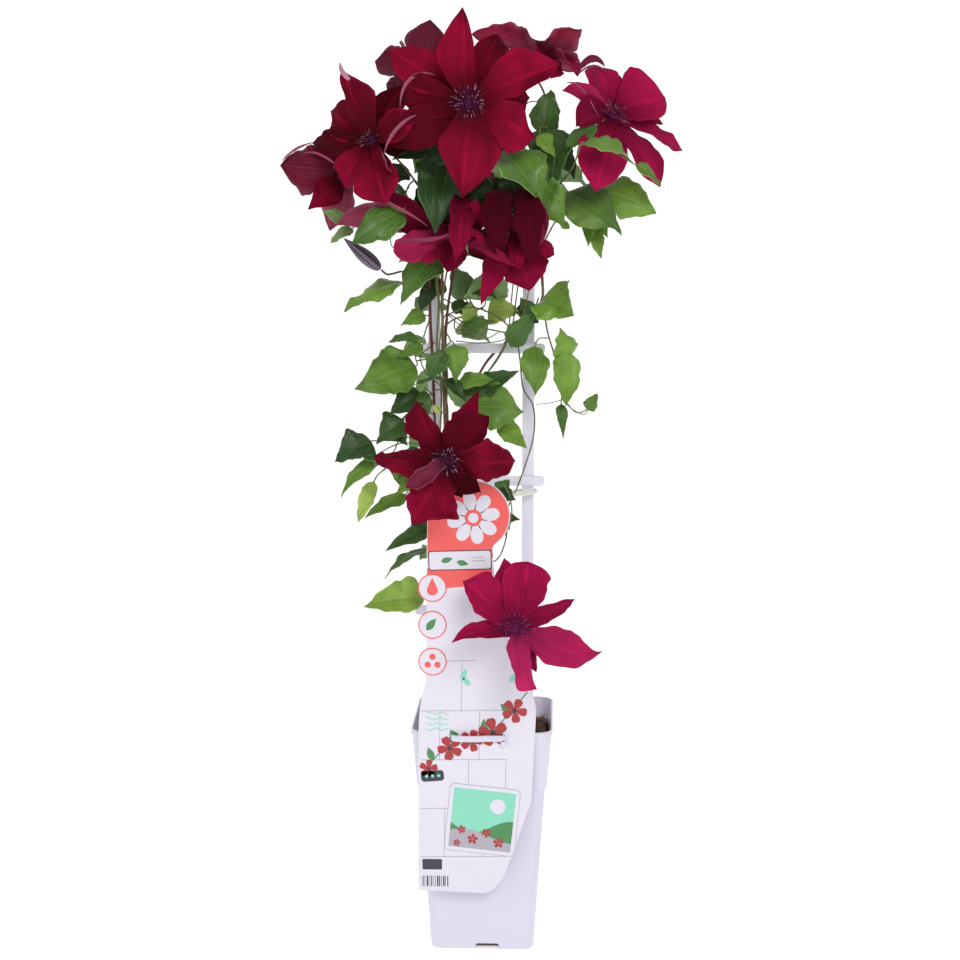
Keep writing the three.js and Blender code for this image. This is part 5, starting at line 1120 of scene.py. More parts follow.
class CLEMATIS_OT_compost(bpy.types.Operator):
    """Build the compost with its crumbs and fine roots"""
    bl_idname = "clematis.compost"
    bl_label = "Compost"

    def execute(self, context):
        size = settings("pot")
        rng = random.Random(5)
        neck = size.height - size.collar + size.wall
        top = 0.198
        gap = 0.3 * MM
        inset = size.wall + 2 * gap
        flare = (size.rim_half - size.collar_half) * (top - neck) / (size.height - neck)
        half_top = size.collar_half - inset + flare
        rounded_square(size.base_half - inset, size.corner - 3 * MM, size.floor + gap, 4)
        ball = lathe_square([(size.base_half - inset, size.floor + gap), (size.neck_half - inset, neck + gap),
                             (size.collar_half - inset, neck + 2 * gap), (half_top - gap, top - 8 * MM)])
        deselect()
        bpy.ops.mesh.primitive_grid_add(x_subdivisions=60, y_subdivisions=60, size=2 * half_top - 6 * MM,
                                        location=(0, 0, top - 3 * MM))
        bpy.ops.object.transform_apply(location=True)
        crust = bpy.context.object
        limit = half_top - 3.2 * MM
        for vertex in crust.data.vertices:
            x, y = vertex.co.x, vertex.co.y
            lumps = math.sin(x * 310 + 1) * math.sin(y * 270) + 0.6 * math.sin(x * 830 + y * 570)
            inside = 1 - max(abs(x), abs(y)) / limit
            fade = min(1.0, 0.25 + inside * 9)
            rise = (0.9 * lumps + rng.uniform(-0.8, 0.8)) * fade + heap(x / MM, y / MM)
            sunk = 0.0 if inside > 0.01 else 0.003
            vertex.co.z += rise * MM - sunk
        modify(crust, "SOLIDIFY", thickness=9 * MM, offset=-1)
        crumbs = []
        for _ in range(150):
            deselect()
            bpy.ops.mesh.primitive_ico_sphere_add(subdivisions=1, radius=rng.uniform(0.8, 2.2) * MM)
            crumb = bpy.context.object
            x, y = rng.uniform(-limit, limit) * 0.95, rng.uniform(-limit, limit) * 0.95
            stretch = Vector((rng.uniform(0.7, 1.4), rng.uniform(0.7, 1.4), rng.uniform(0.5, 0.9)))
            for vertex in crumb.data.vertices:
                rough = 1 + rng.uniform(-0.25, 0.25)
                vertex.co = Vector([a * b for a, b in zip(vertex.co, stretch)]) * rough + Vector((x, y, top - 2 * MM))
            crumbs.append(crumb)
        skin = moist_compost("moist compost", size.compost, size.root)
        settle(join([ball, crust, *crumbs]), "compost_fine", [skin], nodes=("soil",))
        roots = []
        wall = 58
        for _ in range(70):
            angle = rng.uniform(0, 2 * math.pi)
            edge = limit / MM / max(abs(math.cos(angle)), abs(math.sin(angle))) * rng.uniform(0.7, 0.97)
            edge = min(edge, 1.25 * limit / MM)
            x, y = edge * math.cos(angle), edge * math.sin(angle)
            points = []
            for _ in range(5):
                points.append((clamp(x, -wall, wall), clamp(y, -wall, wall), top / MM - 3 + rng.uniform(-0.6, 1.6)))
                x += rng.uniform(-7, 7)
                y += rng.uniform(-7, 7)
            roots.append(fibre(points, 3, rng))
        for _ in range(130):
            x, y = rng.uniform(42, 55), rng.uniform(-50, 34)
            z = top / MM - 3 + heap(x, y) + rng.uniform(-0.5, 1.5)
            turn, tilt = rng.uniform(0, 2 * math.pi), rng.uniform(-0.2, 0.2)
            reach = rng.uniform(3, 7)
            points = [(clamp(x + reach * k * math.cos(turn), 38, wall),
                       y + reach * k * math.sin(turn) + 1.5 * (k % 2),
                       z + reach * k * tilt - 0.3 * k * k) for k in range(4)]
            roots.append(fibre(points, 2, rng))
        finish = Finish("fine roots", 0.8)
        wander = finish.clouds(150, 3)
        finish.paint(finish.blend(scaled(size.root, 0.5), scaled(size.root, 1.6), wander, 0.3, 0.7))
        finish.bump(wander, 0.0002)
        settle(join(roots), "roots", [finish.material])
        return {"FINISHED"}


RAILS_X = (-47, 40.5)
RAIL_Y = 20
RAIL_Z = (112, 703)
BARS_X = (-66, 56)
BARS_Z = (310, 434, 558, 682)


class CLEMATIS_OT_trellis(bpy.types.Operator):
    """Build the ladder trellis: two channel rails and four crossbars"""
    bl_idname = "clematis.trellis"
    bl_label = "Trellis"

    def execute(self, context):
        size = settings("support")
        wide, deep, web = size.rail_width / MM / 2, size.rail_depth / MM / 2, size.web / MM
        trellis = None
        for x in RAILS_X:
            rail = block((x - wide, RAIL_Y - deep, RAIL_Z[0]), (x + wide, RAIL_Y + deep, RAIL_Z[1]), 0.5)
            hollow = block((x - wide + web, RAIL_Y - deep + web, RAIL_Z[0] - 5),
                           (x + wide - web, RAIL_Y + deep + 5, RAIL_Z[1] + 5))
            cut(rail, hollow)
            trellis = rail if trellis is None else join([trellis, rail])
        front = RAIL_Y - deep + 1
        high = size.bar_height / MM / 2
        for z in BARS_Z:
            bar = block((BARS_X[0], front - size.bar_depth / MM, z - high), (BARS_X[1], front, z + high))
            select_edges(bar, lambda a, b: abs(a.y - b.y) > MM)
            bpy.ops.mesh.bevel(offset=3.4 * MM, segments=6, affect="EDGES")
            bpy.ops.object.mode_set(mode="OBJECT")
            round_edges(bar, 0.5)
            cut(trellis, bar, "UNION")
        settle(trellis, "trellis_fine", [moulded_plastic("trellis plastic", size.plastic, 0.42)],
               nodes=("trellis",))
        return {"FINISHED"}


class CLEMATIS_OT_tie(bpy.types.Operator):
    """Build the flat tie that holds a shoot to the right rail"""
    bl_idname = "clematis.tie"
    bl_label = "Tie"

    def execute(self, context):
        level = 423.75
        loop = [(48.2, 14), (48.2, 25), (45, 25.8), (36, 25.8), (28, 20), (21.5, 8), (22, -1), (28, -3.5), (36, 1),
                (44, 9), (48.2, 14)]
        path = smooth_path([(x, y, level) for x, y in loop], 6)
        tail = smooth_path([(23, -1.8, level), (14, -3.1, 423.9), (4.6, -4.2, 423.4)], 6)
        strips = []
        for line in (path, tail):
            strip = rod(line, [1.0] * len(line), 0, 1)
            places = points_of(strip.data)
            places[:, 2] = level * MM + (places[:, 2] - level * MM) * 1.75
            move_points(strip.data, places)
            strips.append(strip)
        size = settings("support")
        settle(join(strips), "tie_fine", [moulded_plastic("tie plastic", size.tie, 0.45)], nodes=("tie",))
        return {"FINISHED"}


# ---- Label ----

LABEL_FRONT = -66.4
HEAD = (-6, 414, 32)
BADGES = [(-44, 348), (-44, 314), (-44, 280)]
BADGE_RADIUS = 13


def arc(cx, cz, radius, start, end, count):
    return [(cx + radius * math.cos(start + (end - start) * k / count),
             cz + radius * math.sin(start + (end - start) * k / count)) for k in range(count + 1)]


def ring_points(cx, cz, radius, count=40):
    return arc(cx, cz, radius, 0, 2 * math.pi, count)[:-1]


def quad(start, control, end, count=10):
    """Points along a curve with one control point, without its start."""
    return [tuple((1 - t) ** 2 * a + 2 * t * (1 - t) * b + t * t * c for a, b, c in zip(start, control, end))
            for t in (k / count for k in range(1, count + 1))]


def turned(points, angle, cx, cz):
    """Points turned by an angle about a centre."""
    c, s = math.cos(angle), math.sin(angle)
    return [(cx + (x - cx) * c - (z - cz) * s, cz + (x - cx) * s + (z - cz) * c) for x, z in points]


def plate(points, front, back):
    """A flat sheet piece: an outline in x and z, extruded from its front to its back."""
    return extruded([(x, front, z) for x, z in points], (0, back - front, 0))


def label_outline():
    """The die-cut outline with its round head, anticlockwise from its lower left corner."""
    cx, cz, radius = HEAD
    points = [(-58, 64), (4, 62)]
    points += quad((4, 62), (18, 66), (26, 92)) + [(46, 150), (50, 236)]
    points += quad((50, 236), (46, 262), (30, 290)) + quad((30, 290), (14, 320), (10, 384))
    points += arc(cx, cz, radius, -0.95, 0.8 * math.pi, 40) + [(-48, 424), (-49, 370), (-50, 262)]
    return points + quad((-50, 262), (-58, 240), (-57, 200))


def petals(cx, cz, count, reach, wide, turn=0.0, notch=0.0):
    """A simple printed blossom: round petals about a centre."""
    petal = [(reach * 0.55 + x * reach * 0.45, z * wide * (0.72 + 0.28 * x)) for x, z in ring_points(0, 0, 1, 18)]
    petal = [(x - notch * math.exp(-(z / (wide * 0.3)) ** 2) * (x > reach * 0.8), z) for x, z in petal]
    return [[(cx + x, cz + z) for x, z in turned(petal, turn + 2 * math.pi * k / count, 0, 0)] for k in range(count)]


def leaf_print(cx, cz, long, wide, angle):
    """A simple printed leaf from its stalk's end."""
    half = [(long * k / 8, wide * math.sin(math.pi * (k / 8) ** 0.8)) for k in range(9)]
    points = half + [(x, -z) for x, z in reversed(half[1:-1])]
    return turned([(cx + x, cz + z) for x, z in points], angle, cx, cz)


def stripe(points, wide):
    """A printed line of constant width through some points."""
    left, right = [], []
    for k, (x, z) in enumerate(points):
        ax, az = points[max(0, k - 1)]
        bx, bz = points[min(len(points) - 1, k + 1)]
        dx, dz = bx - ax, bz - az
        norm = math.hypot(dx, dz) or 1
        left.append((x - dz / norm * wide / 2, z + dx / norm * wide / 2))
        right.append((x + dz / norm * wide / 2, z - dx / norm * wide / 2))
    return left + right[::-1]


def rounded(x0, z0, x1, z1, corner, angle=0.0):
    """A printed box with round corners, turned about its middle."""
    points = []
    for cx, cz, start in ((x1 - corner, z1 - corner, 0), (x0 + corner, z1 - corner, 0.5),
                          (x0 + corner, z0 + corner, 1), (x1 - corner, z0 + corner, 1.5)):
        points += arc(cx, cz, corner, start * math.pi, (start + 0.5) * math.pi, 5)
    return turned(points, angle, (x0 + x1) / 2, (z0 + z1) / 2)


class CLEMATIS_OT_label(bpy.types.Operator):
    """Build the hanging label and its printed picture"""
    bl_idname = "clematis.label"
    bl_label = "Label"

    def execute(self, context):
        size = settings("label")
        front, back = LABEL_FRONT, LABEL_FRONT + size.thickness / MM
        sheet = plate(label_outline(), front, back)
        for x, z in BADGES:
            cut(sheet, plate(ring_points(x, z, BADGE_RADIUS), front, back), "UNION")
        for x in LABEL_SLOTS:
            cut(sheet, block((x - 1.8, front - 2, 205.2), (x + 1.8, back + 2, 214.2)))
        round_edges(sheet, 0.12, 1, 60)
        settle(sheet, "label_fine", [printed_ink("label sheet", size.sheet)], nodes=("label",))

        inks = {name: printed_ink("ink " + name, getattr(size, name))
                for name in ("sheet", "coral", "dark", "green", "red", "mint", "grey")}
        pieces = []
        for layer, ink, points in self.picture():
            piece = plate(points, front - (layer + 1) * size.ink / MM, front + 0.02)
            piece.data.materials.append(inks[ink])
            pieces.append(piece)
        settle(join(pieces), "label_print", None, smooth=0)
        return {"FINISHED"}

    def picture(self):
        """The printed shapes from the lowest layer up: layer, ink and outline."""
        shapes = []

        def add(layer, ink, *outlines):
            shapes.extend((layer, ink, outline) for outline in outlines)

        for k in range(5):
            z = 96 + 46 * k
            add(0, "grey", stripe([(-55 + (6 if k > 3 else 0), z), (-4 if k > 3 else 24, z + 1.5)], 0.7))
        for x, low in ((-34, 96), (2, 96), (-12, 142), (22, 142), (-38, 188), (-2, 188), (-18, 234)):
            add(0, "grey", stripe([(x, low), (x + 0.6, low + 46)], 0.6))

        cx, cz, radius = HEAD
        head = [(-48.2, 376), (10.8, 376), (10, 386)] + arc(cx, cz, radius - 1, -0.9, 0.8 * math.pi, 36) + [
            (-47, 424), (-48, 400)]
        add(1, "coral", head)
        add(2, "sheet", *petals(cx - 1, cz - 2, 8, 24, 7.5, 0.2))
        add(3, "coral", ring_points(cx - 1, cz - 2, 7.6))
        add(4, "sheet", ring_points(cx - 1, cz - 2, 4.6))
        add(1, "coral", [(-49, 346), (10.5, 352), (9.6, 368), (-48.6, 366)])
        add(2, "dark", rounded(-47.5, 364.5, 9.5, 382.5, 2.4, 0.03))
        add(3, "sheet", rounded(-46.6, 365.4, 8.6, 381.6, 2.0, 0.03))
        add(4, "green", leaf_print(-36, 372, 11, 2.6, 0.3), leaf_print(-22, 372, 11, 2.6, -0.2))
        add(4, "grey", stripe([(-8, 373), (4, 373.4)], 0.8), stripe([(-8, 376), (2, 376.4)], 0.8))

        for x, z in BADGES:
            add(5, "coral", ring_points(x, z, BADGE_RADIUS - 0.1))
            add(6, "sheet", ring_points(x, z, BADGE_RADIUS - 1.2))
        drop = [(-44, 357.5)] + arc(-44, 346, 5, 0.25, -math.pi - 0.25, 18)
        add(7, "coral", drop)
        add(7, "green", leaf_print(-49.5, 309, 14, 3.4, 0.9))
        for dx, dz in ((0, 4.6), (-4.4, -2.8), (4.4, -2.8)):
            add(7, "coral", ring_points(-44 + dx, 280 + dz, 2.9))

        vine = [(-52 + 94 * t, 178 + 70 * t + 7 * math.sin(7 * t)) for t in (k / 24 for k in range(25))]
        add(1, "green", stripe(vine, 1.1))
        for k, (long, angle) in enumerate(((13, 1.9), (12, -0.9), (13, 2.2), (12, -0.5), (14, 1.6), (12, -1.2),
                                           (12, 2.4))):
            x, z = vine[2 + 3 * k]
            add(2, "green", leaf_print(x, z, long, 3.4, angle))
        for k, reach, turn in ((1, 9, 0.2), (6, 12, 0.8), (11, 11, 0.0), (16, 14, 0.5), (21, 12, 1.1)):
            x, z = vine[k]
            add(3, "red", *petals(x, z - 3, 5, reach, reach * 0.42, turn, 0.8))
            add(4, "dark", ring_points(x, z - 3, reach * 0.18, 16))
        for x, z, long, angle in ((-18, 262, 13, 1.2), (-10, 258, 10, 2.3), (26, 262, 11, 0.9)):
            add(2, "mint", leaf_print(x, z, long, 2.6, angle))
        for k in range(4):
            z = 232 - 5 * k
            add(1, "mint", stripe([(-50 + 2 * j, z + 1.2 * math.sin(j * 1.1 + k)) for j in range(11)], 1.0))

        frame_angle = -0.1
        add(3, "grey", rounded(-31.5, 100, 33.5, 164, 5, frame_angle))
        add(4, "sheet", rounded(-31, 100.6, 33, 163.4, 4.6, frame_angle))
        add(5, "mint", rounded(-27.5, 104, 29.5, 160, 1.2, frame_angle))
        centre = (1, 132)

        def hill(height, swell, start, turns):
            ridge = [(-27.5 + 57 * k / 16, height + swell * math.sin(start + turns * k / 16)) for k in range(17)]
            return turned([(-27.5, 104), *ridge, (29.5, 104)], frame_angle, *centre)

        add(6, "sheet", turned(ring_points(14, 146, 7), frame_angle, *centre))
        add(7, "green", hill(126, 7, 3, 5))
        add(8, "grey", hill(117, 5, 0.6, 4))
        for x, z, reach in ((-17, 121, 4), (-6, 113, 5), (6, 120, 4.4), (18, 112, 5), (-20, 108, 3.4)):
            for petal in petals(x, z, 5, reach, reach * 0.42, x):
                add(9, "red", turned(petal, frame_angle, *centre))
        add(3, "dark", rounded(-55, 168, -34, 178, 3, 0.08))
        for k in range(3):
            add(4, "mint", ring_points(-50 + 5.6 * k, 172.6 + 0.4 * k, 1.5, 14))
        add(2, "dark", rounded(-54, 84, -36, 94, 1, 0))
        for k, wide in enumerate((0.9, 0.5, 1.3, 0.5, 0.9, 0.5, 0.5, 1.3, 0.9, 0.5, 1.3, 0.5, 0.9)):
            x = -54 + 1.9 * k
            add(2, "dark", [(x, 68), (x + wide, 68), (x + wide, 78), (x, 78)])
        return shapes


# ---- Plant ----

def stalk_path(points, bloom=None):
    """A stem's or stalk's path; a stalk ends behind the hub of its bloom."""
    if bloom:
        place = Vector(BLOOMS[bloom]["at"])
        out = Vector(BLOOMS[bloom]["face"]).normalized()
        points = [*points, tuple(place - out * 12), tuple(place - out * 2.6)]
    return smooth_path(points)


class CLEMATIS_OT_stems(bpy.types.Operator):
    """Build the climbing stems and the flower stalks"""
    bl_idname = "clematis.stems"
    bl_label = "Stems"

    def execute(self, context):
        plant = settings("plant")
        for name, branches in STEMS.items():
            warmth, depth = STEM_TINTS[name]
            ripe = [plant.bark[0] * depth, plant.bark[1] * depth * warmth, plant.bark[2] * depth]
            bark = stem_bark("bark " + name, ripe, plant.green_bark)
            rods = []
            for radius, points, *bloom in branches:
                path = stalk_path(points, *bloom)
                swell = [radius * (1.0 + 0.06 * math.sin(k * 1.3)) for k in range(len(path))]
                if bloom:
                    swell[-2:] = radius * 1.4, radius * 1.9
                else:
                    swell[-1] = radius * 0.6
                young = {STEM: 0.0, STALK: 0.25, SHOOT: 0.9}[radius]
                rods.append(rod(path, swell, young, 2))
            settle(join(rods), name + "_fine", [bark], nodes=(name,), smooth=math.radians(60))
        return {"FINISHED"}


TEPAL_SHAPE = {"root": 5.0, "heel": 1.0, "blunt": 0.9, "tone": 0.35, "curl": 0.66, "nick": 1.0, "roll": (0.25, 0.25),
               "rim": (0, 0), "fold": 0.06, "twist": 0, "late": 1.5, "wave": 1.3, "pucker": 0.22, "groove": 0.35,
               "sway": 0, "hook": 0}


def tepal_blade(pattern, bloom, spec, rng):
    """A tepal of a bloom, along a rib that leaves the hub, arches forward and ends at its tip."""
    whole = {key: bloom[key] for key in ("nick", "tone") if key in bloom}
    shape = {**TEPAL_SHAPE, **whole, **spec}
    centre = np.array(bloom["at"], dtype=float)
    tip = np.array(spec["tip"], dtype=float)
    out = direction(bloom["face"])
    reach = tip - centre
    rise = reach @ out
    flat = reach - out * rise
    far = np.linalg.norm(flat)
    radial = flat / far
    side = direction(shape["side"]) if "side" in shape else np.cross(out, radial)
    level = shape["level"]
    controls = [centre + radial * 2.2 + out * level,
                centre + radial * far * 0.4 + out * (level + bloom["bow"] * 1.1 + max(0, rise) * 0.2)
                + side * shape["sway"] * 0.6,
                centre + radial * far * 0.75 + out * (level * 0.5 + bloom["bow"] * 0.9 + rise * 0.55)
                + side * shape["sway"],
                tip + out * shape["hook"]]
    if "rib" in shape:
        controls = [*np.array(shape["rib"], dtype=float), controls[-1]]
    rib = bezier([point * MM for point in controls])
    across, share = pattern_grid(pattern)
    places = bent_blade(across, share, rib, side, shape, rng)
    return copy_of(pattern, places, np.clip(shape["tone"] + rng.uniform(-0.12, 0.12), -1, 1))


def curl_blade(pattern, rng, wide, points, tone=-0.35):
    """A rim that curls over and shows its pale back, the paleness partly a painted highlight from its tone under 0, as
    a narrow blade along a few points.
    """
    across, share = pattern_grid(pattern)
    controls = np.array(points, dtype=float) * MM
    rib = bezier(controls)
    side = unit(np.cross((0, 1, 0), controls[-1] - controls[0]))
    widths = (wide * 0.7, wide, wide, wide * 0.6)
    shape = {**TEPAL_SHAPE, "root": 0.4, "blunt": 1.5, "cw": widths, "ccw": widths, "roll": (-0.9, -0.9),
             "wave": 0.2, "pucker": 0.05, "groove": 0.1}
    return copy_of(pattern, bent_blade(across, share, rib, side, shape, rng), tone)


class CLEMATIS_OT_blooms(bpy.types.Operator):
    """Build the tepals of every bloom"""
    bl_idname = "clematis.blooms"
    bl_label = "Blooms"

    def execute(self, context):
        plant = settings("plant")
        pattern = blade_pattern("tepal pattern", columns=20, rows=32)
        for number, (name, bloom) in enumerate(BLOOMS.items()):
            rng = np.random.default_rng(40 + number)
            share = bloom.get("tint", 0.0)
            deep = mixed(plant.tepal_deep, scaled(plant.tepal_magenta, 0.55), share)
            bright = mixed(plant.tepal_bright, plant.tepal_magenta, share)
            back = mixed(plant.tepal_back, scaled(bright, 0.8), bloom.get("blush", 0.0))
            blades = [tepal_blade(pattern, bloom, spec, rng) for spec in bloom["tepals"]]
            blades += [curl_blade(pattern, rng, *curl) for curl in bloom.get("curls", ())]
            whorl = join(blades)
            whorl.data.materials.append(petal_skin("tepal front " + name, deep, bright, share,
                                                   bloom.get("shade", 0.0)))
            whorl.data.materials.append(petal_back("tepal back " + name, back, bright))
            modify(whorl, "SOLIDIFY", thickness=plant.tepal_thickness, offset=0, material_offset=1,
                   use_quality_normals=True)
            settle(whorl, "bloom_" + name + "_fine", None, nodes=("bloom_" + name,), smooth=math.pi)
        bpy.data.objects.remove(pattern)
        return {"FINISHED"}


def filament_pattern(levels=6, sides=5):
    """A thin upright spike, cut across at a few levels so that it can bend."""
    deselect()
    bpy.ops.mesh.primitive_cylinder_add(vertices=sides, radius=1, depth=1, location=(0, 0, 0.5))
    bpy.ops.object.transform_apply(location=True)
    bpy.ops.object.mode_set(mode="EDIT")
    for k in range(1, levels):
        bpy.ops.mesh.select_all(action="SELECT")
        bpy.ops.mesh.bisect(plane_co=(0, 0, k / levels), plane_no=(0, 0, 1))
    bpy.ops.object.mode_set(mode="OBJECT")
    pattern = bpy.context.object
    places = points_of(pattern.data)
    set_map(pattern.data, np.stack([np.full(len(places), 0.5), places[:, 2]], axis=1))
    return pattern, places


def filament(pattern, flat, seat, out, outwards, far, rise, radius, bend, tone):
    """A copy of the spike, from the hub outwards and up, swollen where the anther is."""
    along = flat[:, 2]
    rib = bezier([seat, seat + out * rise * 0.5 + outwards * far * 0.35,
                  seat + out * rise * 0.95 + outwards * far * 0.75, seat + out * (rise + bend) + outwards * far])
    here = rib(along)
    across = np.cross(out, outwards)
    swell = 0.75 + 0.3 * np.exp(-((along - 0.75) / 0.2) ** 2)
    swell = np.where(along > 0.99, 0.25, swell) * radius
    return copy_of(pattern, here + (across * flat[:, :1] + out * flat[:, 1:2]) * swell[:, None], tone)


class CLEMATIS_OT_stamens(bpy.types.Operator):
    """Build the crown of stamens and styles of every bloom"""
    bl_idname = "clematis.stamens"
    bl_label = "Stamens"

    def execute(self, context):
        plant = settings("plant")
        pattern, flat = filament_pattern()
        # Each ring of stamens: the radius of its seats, how far out and how high it reaches, and its count.
        rings = ((3.6, 16.5, 4.0, 34), (3.2, 13.5, 6.5, 30), (2.6, 10.0, 8.5, 24), (1.8, 6.5, 9.5, 16),
                 (0.9, 3.0, 9.5, 10))
        for number, (name, bloom) in enumerate(BLOOMS.items()):
            rng = np.random.default_rng(90 + number)
            fresh = max(0.0, 2 * bloom.get("tint", 0.0) - 1)
            dark = mixed(plant.stamen_dark, plant.stamen_fresh, fresh)
            tip = mixed(plant.stamen_tip, scaled(plant.stamen_fresh, 5), fresh * 0.6)
            skin = stamen_skin("stamens " + name, dark, tip)
            out = direction(bloom["face"])
            centre = np.array(bloom["at"], dtype=float) * MM + out * 2.4 * MM
            out = direction(bloom.get("crown", bloom["face"]))
            first = unit(np.cross(out, (0.3, 0.2, 0.93)))
            second = np.cross(out, first)
            stretch = bloom.get("stamens", 1.0)
            spikes = []
            for root, far, rise, count in rings:
                for k in range(count):
                    angle = 2 * math.pi * (k + rng.uniform(-0.4, 0.4)) / count
                    outwards = first * math.cos(angle) + second * math.sin(angle)
                    seat = centre + outwards * root * MM
                    reach = (far - root) * stretch * rng.uniform(0.7, 1.12) * MM
                    height, bend = rise * rng.uniform(0.75, 1.1) * MM, rng.uniform(-2.4, 2.4) * MM
                    spikes.append(filament(pattern, flat, seat, out, outwards, reach, height, 0.24 * MM, bend,
                                           rng.uniform(0, 1)))
            deselect()
            bpy.ops.mesh.primitive_uv_sphere_add(segments=16, ring_count=8, radius=1)
            hub = bpy.context.object
            places = points_of(hub.data)
            lifted = centre + first * places[:, :1] * plant.hub + second * places[:, 1:2] * plant.hub
            move_points(hub.data, lifted + out * places[:, 2:] * 3.4 * MM)
            set_map(hub.data, np.full((len(places), 2), 0.5))
            face_outwards()
            settle(join([hub, *spikes]), "stamens_" + name + "_fine", [skin],
                   nodes=("stamens_" + name,), smooth=math.radians(60))
        bpy.data.objects.remove(pattern)
        return {"FINISHED"}


def closed_bud(name, spec, material):
    """A pointed bud with shallow ribs, from a ball whose poles lie at its two ends."""
    deselect()
    bpy.ops.mesh.primitive_uv_sphere_add(segments=32, ring_count=24, radius=1)
    bud = bpy.context.object
    mesh = bud.data
    places = points_of(mesh)
    base, tip = np.array(spec["base"]) * MM, np.array(spec["tip"]) * MM
    along = unit(tip - base)
    first = unit(np.cross(along, (0, 0.2, 1)))
    second = np.cross(along, first)
    share = (places[:, 2] + 1) / 2
    angle = np.arctan2(places[:, 1], places[:, 0])
    knots = [0, 0.03, 0.12, 0.25, 0.4, 0.55, 0.7, 0.85, 0.95, 1]
    sizes = [0.0, 0.45, 0.78, 0.97, 1.0, 0.9, 0.68, 0.38, 0.15, 0.0]
    girth = np.interp(share, knots, sizes) * spec["radius"] * MM
    girth *= 1 + 0.11 * np.cos(6 * angle + 2 * share)
    placed = base + along * (share * np.linalg.norm(tip - base))[:, None]
    placed = placed + first * (girth * np.cos(angle))[:, None] + second * (girth * np.sin(angle))[:, None]
    move_points(mesh, placed)
    mesh.uv_layers[0].name = CUT_UV
    face_outwards()
    settle(bud, name + "_fine", [material], nodes=(name,), smooth=math.radians(60))


class CLEMATIS_OT_buds(bpy.types.Operator):
    """Build the closed buds"""
    bl_idname = "clematis.buds"
    bl_label = "Buds"

    def execute(self, context):
        plant = settings("plant")
        closed_bud("bud_long", LONG_BUD, bud_skin("bud skin", plant.bud))
        closed_bud("bud_small", SMALL_BUD, bud_skin("green bud skin", plant.young_leaf))
        return {"FINISHED"}


LEAF_SHAPE = {"root": 0.6, "heel": 2.3, "blunt": 0.6, "curl": 0.5, "nick": 2.4, "rim": (0, 0), "late": 1.5,
              "pucker": 0.15, "groove": 0.25}
# Half widths of the leaflets' outlines, as shares of half their width.
LEAF_CUTS = ((1.0, 1.02, 0.78, 0.4), (1.15, 1.0, 0.68, 0.32), (0.9, 1.05, 0.9, 0.5), (1.1, 1.1, 0.78, 0.26))


def nearest(path, place):
    return min(path, key=lambda point: (point - place).length)


def leaflet(pattern, rng, base, tip, width, tone, face=FRONT):
    """A leaflet from its base to its tip, cut and bent at random."""
    across, share = pattern_grid(pattern)
    base, tip = np.array(base) * MM, np.array(tip) * MM
    along = tip - base
    long = np.linalg.norm(along)
    along = along / long
    facing = direction(face)
    normal = unit(facing - along * (facing @ along))
    cw, ccw = ([width / 2 * part * rng.uniform(0.92, 1.08) for part in LEAF_CUTS[rng.integers(len(LEAF_CUTS))]]
               for _ in range(2))
    shape = {**LEAF_SHAPE, "twist": rng.uniform(-35, 35), "fold": rng.uniform(0.05, 0.4), "cw": cw, "ccw": ccw,
             "roll": (rng.uniform(-0.9, 0.5), rng.uniform(-0.9, 0.5)), "wave": rng.uniform(0.8, 1.7) * width / 16}
    droop = rng.uniform(0.1, 0.2)
    rib = bezier([base, base + along * long * 0.3 + normal * long * droop,
                  base + along * long * 0.75 + normal * long * droop * 0.8, tip])
    side = np.cross(normal, along)
    places = bent_blade(across, share, rib, side, shape, rng)
    return copy_of(pattern, places, tone)


class CLEMATIS_OT_leaves(bpy.types.Operator):
    """Build the leaf stalks and the leaflets"""
    bl_idname = "clematis.leaves"
    bl_label = "Leaves"

    def execute(self, context):
        plant = settings("plant")
        skins = leaf_skins(plant)
        pattern = blade_pattern("leaf pattern", columns=14, rows=24)
        for number, (name, (stalk, kind, leaflets)) in enumerate(SPRAYS.items()):
            rng = np.random.default_rng(200 + number)
            path = smooth_path(stalk, 6)
            rods = [rod(path, [0.8] * len(path), 0.5, 1), *(petiole(path, base, tip) for base, tip, *_ in leaflets)]
            build_spray(name + "_fine", pattern, leaflets, rods, kind, skins, rng, nodes=(name,))
        bpy.data.objects.remove(pattern)
        return {"FINISHED"}


def leaf_skins(plant):
    return {
        "leaf": leaf_skin("leaf front", plant.leaf_dark, plant.leaf, plant.bright_leaf, 0.34),
        "young_leaf": leaf_skin("young leaf front", plant.leaf, plant.bright_leaf, plant.young_leaf, 0.42),
        "pale_leaf": leaf_skin("pale leaf front", plant.leaf, plant.pale_leaf, plant.young_leaf, 0.5),
        "back": leaf_skin("leaf back", plant.leaf_back, plant.leaf_back, plant.leaf_back, 0.6, back=True),
        "stalk": stem_bark("leaf stalk", plant.green_bark, plant.green_bark),
    }


def petiole(path, base, tip):
    """A leaflet's own stalk, from the nearest point of a stalk or stem to its base."""
    start = nearest(path, Vector(base) * MM) / MM
    base = Vector(base)
    towards = (Vector(tip) - base).normalized()
    reach = (start - base).length
    middle = base - towards * min(reach * 0.3, 12) + (start - base) * 0.3
    bridge = smooth_path([tuple(start), tuple(middle), tuple(base + towards * 1.5)], 5)
    return rod(bridge, [0.62] * len(bridge), 0.5, 1)


def build_spray(name, pattern, leaflets, rods, kind, skins, rng, nodes=()):
    """Leaflets and their stalks as one piece; the leaflets get a back of another colour."""
    spray = join([leaflet(pattern, rng, *spec) for spec in leaflets])
    spray.data.materials.append(skins[kind])
    spray.data.materials.append(skins["back"])
    modify(spray, "SOLIDIFY", thickness=settings("plant").leaf_thickness, offset=0, material_offset=1,
           material_offset_rim=1, use_quality_normals=True)
    stalks = join(rods)
    stalks.data.materials.clear()
    stalks.data.materials.append(skins["stalk"])
    settle(join([spray, stalks]), name, None, nodes=nodes, smooth=math.pi)


